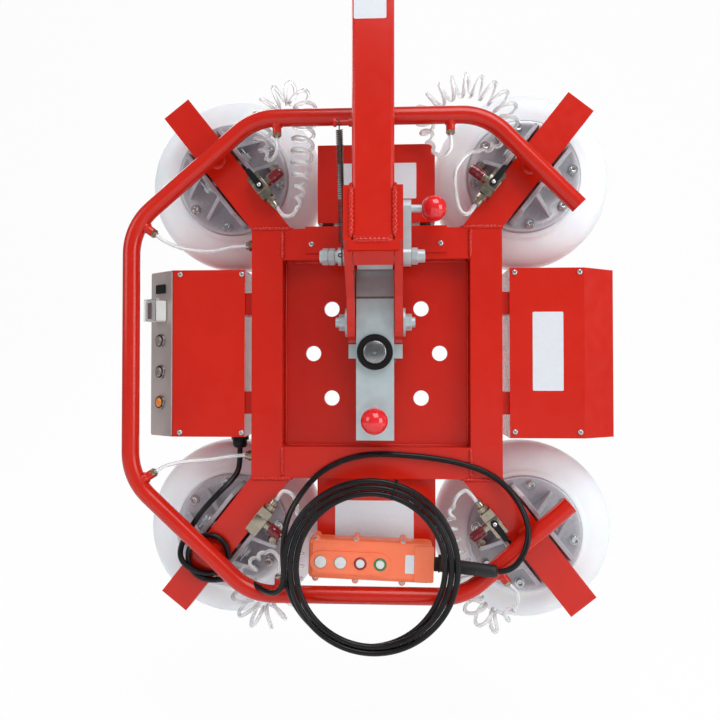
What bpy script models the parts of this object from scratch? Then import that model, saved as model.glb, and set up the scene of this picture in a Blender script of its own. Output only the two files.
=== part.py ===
"""Vacuum lifter: a mast with a fork carries a tilting bar, a frame turns on the
bar's shaft, and four suction cups rock on pins at the ends of the frame's arms.

Units are metres, +Z is up, +Y points from the operator to the load. Lengths are
worked out about the swivel shaft, with y = 0 at the front faces of the frame
tubes, and the root empty then puts the origin in the eye of the lifting lug.
"""
import math

import bmesh
import bpy
from mathutils import Matrix, Vector

# General
FIT = 0.0003
ROUND_SIDES = 20
THIN_SIDES = 12
BALL_SIDES = 16
WIDE_SIDES = 28

# Square frame with its four arms
RAIL = 0.050
FRAME_SIDE = 0.400
RAIL_ROUND = 0.004
ARM_ANGLE = math.radians(51.6)
ARM_LENGTH = 0.252
ARM_WELD = 0.0015
FRAME_HALF = FRAME_SIDE / 2
WINDOW_HALF = FRAME_HALF - RAIL
ARM_FOOT_X = FRAME_HALF - RAIL / 2 / math.sin(ARM_ANGLE)

# Index plate in the frame's window
PLATE_FRONT = 0.028
PLATE_THICKNESS = 0.008
INDEX_HOLE_RADIUS = 0.0125
INDEX_CIRCLE_RADIUS = 0.103
INDEX_HOLES = 8

# Tilting bar and its pivot
BAR_WIDTH = 0.058
BAR_FRONT = -0.045
BAR_BACK = -0.005
BAR_BOTTOM = -0.135
BAR_CHAMFER_Z = 0.085
BAR_CHAMFER = 0.012
TILT_Y = -0.025
TILT_Z = 0.047
BAR_END_RADIUS = 0.081
EAR_HEIGHT = 0.022
EAR_DEPTH = 0.015
TILT_PIN_RADIUS = 0.008
TILT_PIN_HALF = 0.062
WASHER_RADIUS = 0.0225
WASHER_THICKNESS = 0.004

# Swivel shaft
SHAFT_RADIUS = 0.018
SHAFT_NECK_RADIUS = 0.028
SHAFT_FLANGE_RADIUS = 0.034
SHAFT_FLANGE_THICKNESS = 0.018
SHAFT_FRONT = -0.060
SHAFT_BACK = 0.062
HUB_NUT_RADIUS = 0.032
HUB_NUT_THICKNESS = 0.016
RING_RADIUS = 0.0275
RING_THICKNESS = 0.011

# Index plunger
PLUNGER_RADIUS = 0.0115
PLUNGER_STEM_RADIUS = 0.007
BALL_RADIUS = 0.020
PLUNGER_BALL_Y = -0.085
PLUNGER_NOSE_GAP = 0.0005

# Fork and mast
MAST_SIDE = 0.060
MAST_BACK = -0.082
MAST_BOTTOM = 0.155
MAST_TOP = 0.590
MAST_ROUND = 0.005
CHEEK_THICKNESS = 0.012
CHEEK_TOP = 0.232
CHEEK_EYE_RADIUS = 0.032
CAP_THICKNESS = 0.014
LUG_THICKNESS = 0.012
LUG_HALF_WIDTH = 0.035
LUG_EYE_RADIUS = 0.0175
LUG_EYE_RISE = 0.050
LUG_BASE = 0.008
MAST_FRONT = MAST_BACK - MAST_SIDE
MAST_CENTRE_Y = MAST_BACK - MAST_SIDE / 2
EYE_Z = MAST_TOP + LUG_BASE + LUG_EYE_RISE
CHEEK_INNER = MAST_SIDE / 2 + FIT
CHEEK_OUTER = CHEEK_INNER + CHEEK_THICKNESS

# Lock shaft with its pawl, lever and spring
LOCK_Y = -0.045
LOCK_Z = 0.147
LOCK_RADIUS = 0.010
LOCK_LEFT = -0.076
LOCK_RIGHT = 0.074
COLLAR_RADIUS = 0.014
COLLAR_WIDTH = 0.0135
LOCK_CLEARANCE = 0.0010
LEVER_THICKNESS = 0.012
LEVER_EYE_RADIUS = 0.016
LEVER_HALF_WIDTH = 0.012
LEVER_RISE = 0.087
LEVER_STEM_DROP = 0.014
LEVER_STEM_RADIUS = 0.006
LEVER_BALL_X = 0.090
PAWL_WIDTH = 0.054
PAWL_EYE_RADIUS = 0.013
LOCK_NUT_RADIUS = 0.0135
LOCK_NUT_THICKNESS = 0.010
SPRING_POST_Z = 0.331
SPRING_POST_REACH = 0.028
SPRING_POST_RADIUS = 0.004
SPRING_RADIUS = 0.0045
SPRING_WIRE = 0.0009
SPRING_TURNS = 9

# Handrail
HANDRAIL_RADIUS = 0.0135
HANDRAIL_Y = -0.027
HANDRAIL_BEND = 0.095
POST_RADIUS = 0.011
BOSS_RADIUS = 0.007
BOSS_REACH = 0.030
HANDRAIL_ROUTE = [
    (0.314, 0.226), (0.172, 0.370), (-0.190, 0.370), (-0.387, 0.200),
    (-0.387, -0.198), (-0.195, -0.376), (0.135, -0.376), (0.298, -0.233),
]

# Housings
BOX_GAP_TO_RAIL = 0.012
BOX_FRONT = 0.004
BOX_BACK = 0.105
BOX_HALF_HEIGHT = 0.135
BOX_FACE_WIDTH = 0.117
BOX_SLOPE_WIDTH = 0.048
BOX_SLOPE_DEPTH = 0.036
PUMP_SLOPE_WIDTH = 0.055
BOX_LUG_HEIGHT = 0.036
BOX_LUG_DEPTH = 0.034
BOX_LUG_Z = 0.080
BOX_ROUND = 0.002
TOP_BOX_HALF_WIDTH = 0.095
TOP_BOX_HEIGHT = 0.127
TOP_BOX_FRONT = 0.014
TOP_BOX_BACK = 0.074
FOOT_HEIGHT = 0.008
FOOT_RADIUS = 0.008
FOOT_X = 0.080
FOOT_INSET = 0.013
BRACKET_THICKNESS = 0.0025
BRACKET_HALF_WIDTH = 0.113
BRACKET_DROP = 0.040

# Control panel on the sloped face of the left housing
PANEL_THICKNESS = 0.002
PANEL_WIDTH = 0.054
PANEL_HALF_HEIGHT = 0.130
BUTTON_RADIUS = 0.008
BUTTON_HEIGHT = 0.0060
BUTTON_TRAVEL = 0.0020
BEZEL_RADIUS = 0.0115
BEZEL_HEIGHT = 0.004
BUTTON_Z = {"panel_button_top": 0.021, "panel_button_middle": -0.030, "panel_button_lamp": -0.080}
BREAKER_Z = 0.069
BREAKER_HEIGHT = 0.034
BREAKER_WIDTH = 0.032
BREAKER_DEPTH = 0.020
FLAP_THICKNESS = 0.0015
FLAP_LIP = 0.003
DISPLAY_Z = 0.106
DISPLAY_HEIGHT = 0.015
DISPLAY_WIDTH = 0.024
DISPLAY_DEPTH = 0.003

# Suction cups
CUP_DISTANCE = 0.1245
CUP_PIN_Y = 0.025
CUP_PIN_RADIUS = 0.006
CUP_PIN_HALF = 0.046
CASTING_RADIUS = 0.095
CASTING_FRONT = 0.064
CASTING_THICKNESS = 0.008
CUP_RADIUS = 0.150
CUP_DEPTH = 0.053
CUP_WALL = 0.012
CUP_LIP = 0.012
RAIL_GAP = 0.004
CLEVIS_THICKNESS = 0.008
CLEVIS_FRONT = 0.010
CLEVIS_HALF_LENGTH = 0.080
GUSSET_REACH = 0.040
GUSSET_THICKNESS = 0.008
GUSSET_SPACING = 0.050
PORT_RADIUS = 0.009
PORT_RISE = 0.012

# Air valves, filters and fittings beside the arms
VALVE_LENGTH = 0.044
VALVE_WIDTH = 0.020
VALVE_DEPTH = 0.022
VALVE_Y = 0.014
VALVE_DISTANCE = 0.060
HANDLE_LENGTH = 0.032
HANDLE_WIDTH = 0.009
HANDLE_THICKNESS = 0.006
HANDLE_HUB_RADIUS = 0.006
FILTER_RADIUS = 0.0085
FILTER_HEIGHT = 0.024
FITTING_RADIUS = 0.0055
FITTING_LENGTH = 0.018

# Pendant control hung below the bottom rail
PENDANT_X = -0.008
PENDANT_Z = -0.3195
PENDANT_TILT = math.radians(2)
PENDANT_LENGTH = 0.190
PENDANT_HEIGHT = 0.062
PENDANT_FRONT = -0.0415
PENDANT_BACK = -0.0055
PENDANT_CORNER = 0.007
PENDANT_FIELD_LENGTH = 0.124
PENDANT_FIELD_HEIGHT = 0.034
PENDANT_FIELD_RISE = 0.002
PENDANT_FIELD_X = -0.030
PENDANT_FIELD_Z = -0.004
PENDANT_BUTTON_RADIUS = 0.0095
PENDANT_BUTTON_SPACING = 0.0305
PENDANT_BUTTON_PROUD = 0.0015
PENDANT_BUTTON_TRAVEL = 0.003
PENDANT_BUTTON_WELL = 0.010
PENDANT_BUTTONS = 4
BOOT_LENGTH = 0.097
BOOT_SLANT = math.radians(16.2)
BOOT_Y = -0.0235
BOOT_RADIUS = 0.011
BOOT_END_RADIUS = 0.007
GLAND_RADIUS = 0.010
GLAND_LENGTH = 0.020

# Cable of the pendant
CABLE_RADIUS = 0.0045
COIL_CENTRE = (-0.004, -0.322)
COIL_INNER = 0.1045
COIL_OUTER = 0.1325
COIL_FRONT = -0.0790
COIL_BACK = -0.0670
LOOP_CENTRE = (-0.2650, -0.3230)
LOOP_INNER = 0.0240
LOOP_OUTER = 0.0440
LOOP_FRONT = -0.0125
LOOP_BACK = -0.0004

# Air hoses
HOSE_RADIUS = 0.0030
CURLY_RADIUS = 0.020

# Where the handrail's hose bosses stand, and which way they point
HOSE_BOSSES = {
    "ul": ((-0.155, 0.370), (0.0, -1.0)),
    "ur": ((0.117, 0.370), (0.0, -1.0)),
    "ll": ((-0.150, -0.376), (0.0, 1.0)),
    "lr": ((0.1846, -0.3325), (0.6595, -0.7517)),
    "left_upper": ((-0.372, 0.205), (0.80, -0.60)),
    "left_lower": ((-0.372, -0.203), (0.85, 0.5268)),
}
SIDE_FITTING_Y = 0.020
SIDE_FITTING_Z = {"upper": 0.1765, "lower": -0.166}
GLAND_PLACE = (-0.228, 0.045)

# Routes are x, y, z and, on a curly hose, the share of its full outer radius
CABLE_FROM_BOOT = [
    (0.1848, -0.0510, -0.3302), (0.1928, -0.0533, -0.3305), (0.2090, -0.0535, -0.3240),
    (0.2225, -0.0510, -0.3050),
    (0.2320, -0.0460, -0.2790), (0.2290, -0.0320, -0.2490), (0.2110, -0.0140, -0.2170),
    (0.1820, -0.0070, -0.1920), (0.1440, -0.0049, -0.1770), (0.0970, -0.0049, -0.1670),
    (0.0350, -0.0049, -0.1610), (-0.0120, -0.0049, -0.1610), (-0.0510, -0.0052, -0.1700),
    (-0.0890, -0.0100, -0.1900), (-0.1180, -0.0185, -0.2230), (-0.1365, -0.0430, -0.2560),
    (-0.1386, -0.0730, -0.2966),
]
CABLE_TO_LOOPS = [
    (-0.1357, -0.0730, -0.3435), (-0.1436, -0.0730, -0.3448), (-0.1570, -0.0680, -0.3500),
    (-0.1730, -0.0500, -0.3540), (-0.1900, -0.0230, -0.3500), (-0.2060, -0.0095, -0.3440),
    (-0.2182, -0.0068, -0.3368),
]
CABLE_TO_GLAND = [
    (-0.2900, -0.0068, -0.2800), (-0.2880, -0.0060, -0.2640), (-0.2700, -0.0020, -0.2430),
    (-0.2430, 0.0120, -0.2140), (-0.2280, 0.0330, -0.1960), (-0.2280, 0.0440, -0.1780),
    (-0.2280, 0.0450, -0.1556),
]
HOSE_ROUTES = {
    "hose_ul": [
        (-0.1550, -0.0270, 0.3397, 0.3), (-0.1550, -0.0260, 0.3180, 0.3), (-0.1700, -0.0080, 0.3080, 0.3),
        (-0.1840, 0.0080, 0.3340, 0.6),
        (-0.1860, 0.0120, 0.3720, 1.0), (-0.1720, 0.0120, 0.4120, 1.0), (-0.1400, 0.0120, 0.4250, 1.0),
        (-0.1160, 0.0120, 0.4000, 1.0), (-0.1180, 0.0080, 0.3520, 1.0), (-0.1200, 0.0000, 0.3000, 0.9),
        (-0.1220, -0.0060, 0.2500, 0.5), (-0.1300, -0.0110, 0.2220, 0.3), (-0.1462, -0.0120, 0.2190, 0.3),
        (-0.1576, -0.0120, 0.2334, 0.3),
    ],
    "hose_ur": [
        (0.1170, -0.0270, 0.3397, 0.3), (0.1170, -0.0260, 0.3180, 0.3), (0.1020, -0.0120, 0.3080, 0.3),
        (0.0860, -0.0050, 0.3350, 0.5),
        (0.0800, 0.0120, 0.3850, 1.0), (0.1000, 0.0120, 0.4150, 1.0), (0.1450, 0.0120, 0.4320, 1.0),
        (0.1900, 0.0120, 0.4150, 1.0), (0.2120, 0.0120, 0.3800, 1.0), (0.2030, 0.0100, 0.3450, 0.6),
        (0.1780, -0.0020, 0.3230, 0.4), (0.1480, -0.0080, 0.3160, 0.3), (0.1270, -0.0110, 0.2880, 0.3),
        (0.1270, -0.0120, 0.2480, 0.3), (0.1340, -0.0120, 0.2230, 0.3), (0.1462, -0.0120, 0.2190, 0.3),
        (0.1576, -0.0120, 0.2334, 0.3),
    ],
    "hose_ll": [
        (-0.1500, -0.0270, -0.3457, 0.3), (-0.1500, -0.0260, -0.3240, 0.3), (-0.1660, -0.0100, -0.3140, 0.3),
        (-0.1920, 0.0050, -0.3300, 0.5), (-0.2120, 0.0120, -0.3700, 1.0), (-0.2120, 0.0120, -0.4050, 1.0),
        (-0.1820, 0.0120, -0.4270, 1.0), (-0.1500, 0.0120, -0.4050, 1.0), (-0.1360, 0.0120, -0.3600, 1.0),
        (-0.1260, 0.0100, -0.3100, 0.6), (-0.1240, -0.0020, -0.2620, 0.4), (-0.1300, -0.0100, -0.2280, 0.3),
        (-0.1462, -0.0120, -0.2190, 0.3), (-0.1576, -0.0120, -0.2334, 0.3),
    ],
    "hose_lr": [
        (0.2046, -0.0270, -0.3553, 0.3), (0.2178, -0.0262, -0.3704, 0.3), (0.2180, -0.0120, -0.3920, 0.3),
        (0.2060, 0.0040, -0.4120, 0.6),
        (0.1860, 0.0120, -0.4250, 1.0), (0.1580, 0.0120, -0.4050, 1.0), (0.1460, 0.0120, -0.3620, 1.0),
        (0.1260, 0.0100, -0.3180, 0.9), (0.1180, 0.0000, -0.2700, 0.6), (0.1240, -0.0090, -0.2320, 0.3),
        (0.1380, -0.0120, -0.2160, 0.3), (0.1480, -0.0120, -0.2210, 0.3), (0.1576, -0.0120, -0.2334, 0.3),
    ],
}
PLAIN_HOSES = {
    "hose_left_upper": [
        (-0.3478, -0.0270, 0.1868), (-0.3320, -0.0250, 0.1760), (-0.3060, -0.0120, 0.1670),
        (-0.2700, 0.0080, 0.1660), (-0.2380, 0.0180, 0.1740), (-0.2126, 0.0200, 0.1765),
    ],
    "hose_left_lower": [
        (-0.3463, -0.0270, -0.1871), (-0.3300, -0.0250, -0.1780), (-0.3040, -0.0120, -0.1730),
        (-0.2700, 0.0080, -0.1720), (-0.2380, 0.0180, -0.1680), (-0.2126, 0.0200, -0.1660),
    ],
}
FITTING_SIDE_LENGTH = 0.012

CORNERS = {"ul": (-1, 1), "ur": (1, 1), "ll": (-1, -1), "lr": (1, -1)}
HANDLE_CORNERS = ("ul", "ur", "lr")

# Straight up in world axes for a flat outline drawn in a plane, and the axis of a turned piece
OUTLINE_TURN = {
    "XY": (0.0, 0.0, 0.0),
    "XZ": (math.pi / 2, 0.0, 0.0),
    "YZ": (math.pi / 2, 0.0, math.pi / 2),
}
TURNED_TURN = {
    "X": (0.0, math.pi / 2, 0.0),
    "Y": (-math.pi / 2, 0.0, 0.0),
    "Z": (0.0, 0.0, 0.0),
}
pivot_places = {}


def paint(name, colour, roughness, metallic=0.0, alpha=1.0):
    """A plain material with one Principled shader."""
    material = bpy.data.materials.new(name)
    material.use_nodes = True
    shader = material.node_tree.nodes["Principled BSDF"]
    shader.inputs["Base Color"].default_value = (*colour, 1.0)
    shader.inputs["Roughness"].default_value = roughness
    shader.inputs["Metallic"].default_value = metallic
    shader.inputs["Alpha"].default_value = alpha
    material.diffuse_color = (*colour, alpha)
    return material


def clear_scene():
    """Empties the scene, so that the script gives the same result each run."""
    for thing in list(bpy.data.objects):
        bpy.data.objects.remove(thing, do_unlink=True)


def pivot(name, at, carrier=None, turn=(0.0, 0.0, 0.0)):
    """An empty on a joint's axis. Pieces on an unturned pivot are placed about the
    swivel shaft, and pieces on a turned one in the pivot's own axes."""
    empty = bpy.data.objects.new(name, None)
    empty.empty_display_size = RAIL
    lifter.objects.link(empty)
    base = Vector((0.0, 0.0, 0.0))
    if carrier is not None:
        empty.parent = carrier
        base = pivot_places[carrier.name]
    empty.location = Vector(at) - base
    empty.rotation_euler = turn
    pivot_places[name] = Vector((0.0, 0.0, 0.0)) if any(turn) else Vector(at)
    return empty


def seat(piece, carrier, at=(0.0, 0.0, 0.0), turn=(0.0, 0.0, 0.0)):
    """Parents a piece to its pivot and places it."""
    piece.parent = carrier
    piece.location = Vector(at) - pivot_places[carrier.name]
    piece.rotation_euler = turn
    return piece


def mesh_piece(name, bm):
    """A new object in the lifter's collection from a bmesh, which is freed."""
    mesh = bpy.data.meshes.new(name)
    bm.to_mesh(mesh)
    bm.free()
    piece = bpy.data.objects.new(name, mesh)
    lifter.objects.link(piece)
    return piece


def rounded(piece, radius, segments=2):
    """Rounds every sharp edge with a Bevel modifier."""
    bevel = piece.modifiers.new("Rounded edges", "BEVEL")
    bevel.width = radius
    bevel.segments = segments
    bevel.limit_method = "ANGLE"
    bevel.angle_limit = math.radians(40)
    return piece


def box(name, carrier, low, high, radius=0.0, segments=2):
    """A block between two corners, with rounded edges if a radius is given."""
    bm = bmesh.new()
    size = Vector(high) - Vector(low)
    bmesh.ops.create_cube(bm, size=1.0, matrix=Matrix.Diagonal((*size, 1.0)))
    piece = seat(mesh_piece(name, bm), carrier, (Vector(low) + Vector(high)) / 2)
    if radius:
        rounded(piece, radius, segments)
    return piece


def as_mesh(curve_piece):
    """Swaps a curve object for a welded mesh object of the same name and place."""
    bpy.context.view_layer.update()
    seen = curve_piece.evaluated_get(bpy.context.evaluated_depsgraph_get())
    mesh = bpy.data.meshes.new_from_object(seen)
    bm = bmesh.new()
    bm.from_mesh(mesh)
    bmesh.ops.remove_doubles(bm, verts=bm.verts, dist=FIT / 30)
    bmesh.ops.recalc_face_normals(bm, faces=bm.faces)
    bm.to_mesh(mesh)
    bm.free()
    name = curve_piece.name
    curve_piece.name = name + "_curve"
    piece = bpy.data.objects.new(name, mesh)
    lifter.objects.link(piece)
    piece.parent = curve_piece.parent
    piece.matrix_local = curve_piece.matrix_local.copy()
    bpy.data.objects.remove(curve_piece, do_unlink=True)
    return piece


def outline(name, carrier, plane, loops, near, far, at=(0.0, 0.0), radius=0.0):
    """A flat plate: closed loops in a plane, the first its edge and the others its
    holes, between two distances along the axis that the plane leaves out."""
    curve = bpy.data.curves.new(name, "CURVE")
    curve.dimensions = "2D"
    curve.fill_mode = "BOTH"
    curve.extrude = (far - near) / 2 - radius
    curve.bevel_depth = radius
    curve.bevel_resolution = 1 if radius else 0
    curve.offset = -radius
    for loop in loops:
        spline = curve.splines.new("POLY")
        spline.points.add(len(loop) - 1)
        for point, (across, up) in zip(spline.points, loop):
            point.co = (across, up, 0.0, 1.0)
        spline.use_cyclic_u = True
    piece = bpy.data.objects.new(name, curve)
    lifter.objects.link(piece)
    middle = (near + far) / 2
    place = {
        "XY": (at[0], at[1], middle),
        "XZ": (at[0], middle, at[1]),
        "YZ": (middle, at[0], at[1]),
    }[plane]
    seat(piece, carrier, place, OUTLINE_TURN[plane])
    return as_mesh(piece)


def arc(radius, start, end, steps, centre=(0.0, 0.0)):
    """Points on an arc, with both ends, counted anticlockwise in degrees."""
    points = []
    for step in range(steps + 1):
        angle = math.radians(start + (end - start) * step / steps)
        points.append((centre[0] + radius * math.cos(angle), centre[1] + radius * math.sin(angle)))
    return points


def circle(radius, sides=ROUND_SIDES, centre=(0.0, 0.0)):
    """A closed loop of points round a centre."""
    return arc(radius, 0.0, 360.0, sides, centre)[:-1]


def turned(name, carrier, axis, profile, at=(0.0, 0.0, 0.0), sides=ROUND_SIDES, ring=False):
    """A lathe piece: points of distance along the axis and radius, spun by a Screw
    modifier. A ring's profile closes on itself and stays off the axis."""
    bm = bmesh.new()
    verts = [bm.verts.new((radius, 0.0, along)) for along, radius in profile]
    pairs = list(zip(verts, verts[1:]))
    if ring:
        pairs.append((verts[-1], verts[0]))
    for first, second in pairs:
        bm.edges.new((first, second))
    area = sum(a.co.x * b.co.z - b.co.x * a.co.z for a, b in zip(verts, verts[1:] + verts[:1]))
    piece = mesh_piece(name, bm)
    screw = piece.modifiers.new("Turned", "SCREW")
    screw.steps = sides
    screw.render_steps = sides
    screw.use_merge_vertices = True
    screw.merge_threshold = FIT / 30
    screw.use_normal_flip = area > 0
    screw.use_smooth_shade = True
    return seat(piece, carrier, at, TURNED_TURN[axis])


def rod(name, carrier, axis, start, end, radius, at=(0.0, 0.0, 0.0), sides=ROUND_SIDES):
    """A plain round bar between two distances along an axis."""
    profile = [(start, 0.0), (start, radius), (end, radius), (end, 0.0)]
    return turned(name, carrier, axis, profile, at, sides)


def tube(name, carrier, points, radius, shares=None, resolution=2):
    """A round tube or cord along a list of points, with filled ends."""
    curve = bpy.data.curves.new(name, "CURVE")
    curve.dimensions = "3D"
    curve.bevel_depth = radius
    curve.bevel_resolution = resolution
    curve.use_fill_caps = True
    spline = curve.splines.new("POLY")
    spline.points.add(len(points) - 1)
    base = pivot_places[carrier.name]
    for index, (point, place) in enumerate(zip(spline.points, points)):
        point.co = (*(Vector(place) - base), 1.0)
        if shares:
            point.radius = shares[index]
    piece = bpy.data.objects.new(name, curve)
    lifter.objects.link(piece)
    piece.parent = carrier
    return piece


def smooth_route(points, spacing):
    """Even points on the smooth curve that passes through a route's own points."""
    rows = [Vector(point) for point in points]
    ends = [rows[0] * 2 - rows[1]] + rows + [rows[-1] * 2 - rows[-2]]
    fine = []
    steps = 24
    for before, start, end, after in zip(ends, ends[1:], ends[2:], ends[3:]):
        for step in range(steps):
            t = step / steps
            fine.append(0.5 * (2 * start + (end - before) * t
                               + (2 * before - 5 * start + 4 * end - after) * t ** 2
                               + (3 * start - before - 3 * end + after) * t ** 3))
    fine.append(rows[-1])
    lengths = [0.0]
    for first, second in zip(fine, fine[1:]):
        lengths.append(lengths[-1] + (second - first).length)
    count = max(4, round(lengths[-1] / spacing))
    even = []
    place = 0
    for index in range(count + 1):
        target = lengths[-1] * index / count
        while place < len(fine) - 2 and lengths[place + 1] < target:
            place += 1
        step = max(lengths[place + 1] - lengths[place], FIT / 30)
        even.append(fine[place].lerp(fine[place + 1], min(1.0, (target - lengths[place]) / step)))
    return even


def bent_route(corners, radius, steps=5):
    """Points along a tube bent to one radius at each corner of a flat route."""
    rows = [Vector(corner) for corner in corners]
    points = [rows[0]]
    for before, corner, after in zip(rows, rows[1:], rows[2:]):
        back = (before - corner).normalized()
        ahead = (after - corner).normalized()
        half = back.angle(ahead) / 2
        centre = corner + (back + ahead).normalized() * radius / math.sin(half)
        start = corner + back * radius / math.tan(half)
        end = corner + ahead * radius / math.tan(half)
        sweep = (start - centre).angle_signed(end - centre)
        for step in range(steps + 1):
            arm = (start - centre).copy()
            arm.rotate(Matrix.Rotation(-sweep * step / steps, 2))
            points.append(centre + arm)
    points.append(rows[-1])
    return points


def crossing(first, second, third, fourth):
    """Where the line through two points meets the line through two others."""
    a = Vector(second) - Vector(first)
    b = Vector(fourth) - Vector(third)
    c = Vector(third) - Vector(first)
    share = (c.x * b.y - c.y * b.x) / (a.x * b.y - a.y * b.x)
    return Vector(first) + a * share


def evaluated_mesh(piece):
    """The mesh of a piece with its modifiers applied."""
    bpy.context.view_layer.update()
    seen = piece.evaluated_get(bpy.context.evaluated_depsgraph_get())
    return bpy.data.meshes.new_from_object(seen)


def fused(piece, additions=(), cutters=()):
    """Welds pieces on to one piece and cuts others out of it, then drops them."""
    for helper, operation in [(one, "UNION") for one in additions] + [(one, "DIFFERENCE") for one in cutters]:
        step = piece.modifiers.new(operation.title(), "BOOLEAN")
        step.operation = operation
        step.solver = "EXACT"
        step.object = helper
    mesh = evaluated_mesh(piece)
    piece.modifiers.clear()
    piece.data = mesh
    for helper in list(additions) + list(cutters):
        bpy.data.objects.remove(helper, do_unlink=True)
    return piece


def finish(piece, material):
    """Gives a piece its material and smooth shading with crisp edges."""
    piece.data.materials.clear()
    piece.data.materials.append(material)
    if piece.type == "MESH":
        piece.data.shade_smooth()
        piece.data.set_sharp_from_angle(angle=math.radians(35))
    return piece


def arm_axes(corner):
    """The side signs of a corner, its arm's direction and its arm's foot, in x and z."""
    side, rise = CORNERS[corner]
    along = Vector((side * math.cos(ARM_ANGLE), rise * math.sin(ARM_ANGLE)))
    foot = Vector((side * ARM_FOOT_X, rise * FRAME_HALF))
    return side, rise, along, foot


def arm_turn(corner):
    """The turn about Y that lays a pivot's Z along an arm and its X across it."""
    along = arm_axes(corner)[2]
    return (0.0, math.atan2(along.x, along.y), 0.0)


def arm_point(corner, distance, depth):
    """A point on an arm's centre line."""
    along, foot = arm_axes(corner)[2:]
    place = foot + along * distance
    return (place.x, depth, place.y)


def inner_side(corner):
    """The sign, on a corner pivot's X axis, of the side that faces the mast."""
    side, rise = CORNERS[corner]
    return -side * rise


def make_mast():
    """The square mast tube, its lifting lug and the fork welded to its lower end."""
    mast = box("mast_tube", root, (-MAST_SIDE / 2, MAST_FRONT, MAST_BOTTOM),
               (MAST_SIDE / 2, MAST_BACK, MAST_TOP), MAST_ROUND)
    side = -MAST_SIDE / 2
    tip = side - SPRING_POST_REACH
    head = SPRING_POST_RADIUS * 1.6
    profile = [
        (tip, 0.0), (tip, head), (tip + SPRING_POST_RADIUS, head), (tip + SPRING_POST_RADIUS, SPRING_POST_RADIUS),
        (side - SPRING_POST_RADIUS * 1.5, SPRING_POST_RADIUS), (side - SPRING_POST_RADIUS * 1.5, head),
        (side + SPRING_POST_RADIUS, head), (side + SPRING_POST_RADIUS, 0.0),
    ]
    post = turned("spring_post", root, "X", profile, (0.0, MAST_CENTRE_Y, SPRING_POST_Z), THIN_SIDES)
    finish(fused(mast, [post]), red)

    foot_z = MAST_TOP + FIT
    eye = [(0.0, EYE_Z)]
    edge = [(-LUG_HALF_WIDTH, foot_z + LUG_BASE / 2), (LUG_HALF_WIDTH, foot_z + LUG_BASE / 2)]
    edge += arc(LUG_HALF_WIDTH, 0, 180, 11, eye[0])
    lug = outline("lifting_lug", root, "XZ", [edge, circle(LUG_EYE_RADIUS, ROUND_SIDES, eye[0])],
                  MAST_CENTRE_Y - LUG_THICKNESS / 2, MAST_CENTRE_Y + LUG_THICKNESS / 2)
    half = MAST_SIDE / 2
    base = box("lug_base", root, (-half, MAST_FRONT, foot_z), (half, MAST_BACK, foot_z + LUG_BASE))
    finish(fused(lug, [base]), red)

    fork = outline("mast_fork", root, "YZ", [cheek_edge()], -CHEEK_OUTER, -CHEEK_INNER)
    right = outline("right_cheek", root, "YZ", [cheek_edge()], CHEEK_INNER, CHEEK_OUTER)
    cap_top = MAST_BOTTOM - FIT
    cap = box("cap_plate", root, (-CHEEK_INNER - CHEEK_THICKNESS / 2, MAST_FRONT + FIT, cap_top - CAP_THICKNESS),
              (CHEEK_INNER + CHEEK_THICKNESS / 2, MAST_BACK - CHEEK_THICKNESS / 3, cap_top))
    reach = CHEEK_OUTER + CHEEK_THICKNESS
    tilt_bore = rod("tilt_bore", root, "X", -reach, reach, TILT_PIN_RADIUS + FIT, (0.0, TILT_Y, TILT_Z))
    lock_bore = rod("lock_bore", root, "X", -reach, reach, LOCK_RADIUS + FIT, (0.0, LOCK_Y, LOCK_Z))
    finish(fused(fork, [right, cap], [tilt_bore, lock_bore]), red)


def cheek_edge():
    """A fork cheek seen from the side, as y and z: straight beside the mast, set back
    to the lock shaft, and round about the tilt pin."""
    eye = CHEEK_EYE_RADIUS
    edge = [(MAST_BACK, CHEEK_TOP), (MAST_FRONT, CHEEK_TOP), (MAST_FRONT, MAST_BOTTOM)]
    edge.append((TILT_Y - eye - COLLAR_RADIUS, TILT_Z + eye + RAIL_ROUND))
    edge += arc(eye, 180, 360, 12, (TILT_Y, TILT_Z))
    edge.append((TILT_Y + eye, LOCK_Z - eye))
    edge.append((LOCK_Y + eye * 0.8, LOCK_Z - eye / 2))
    edge.append((LOCK_Y + eye * 0.6, LOCK_Z + eye / 2))
    edge.append((MAST_BACK, LOCK_Z + eye * 1.4))
    return edge


def make_tilt_pin():
    """The pin through both cheeks and the bar, with a washer and a nut at each end."""
    at = (0.0, TILT_Y, TILT_Z)
    washer = CHEEK_OUTER + FIT
    nut = washer + WASHER_THICKNESS
    pin = rod("tilt_pin", root, "X", -TILT_PIN_HALF, TILT_PIN_HALF, TILT_PIN_RADIUS, at)
    additions = []
    for sign in (-1, 1):
        near, far = sorted((sign * washer, sign * nut))
        additions.append(rod("tilt_washer", root, "X", near, far, WASHER_RADIUS, at))
        near, far = sorted((sign * (nut - FIT), sign * (nut + LOCK_NUT_THICKNESS)))
        additions.append(hex_nut("tilt_nut", root, near, far, LOCK_NUT_RADIUS, (TILT_Y, TILT_Z)))
    finish(fused(pin, additions), steel)


def hex_nut(name, carrier, near, far, radius, at, plane="YZ"):
    """A six-sided nut, to be welded to its own bolt or shaft."""
    return outline(name, carrier, plane, [circle(radius, 6)], near, far, at)


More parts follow.
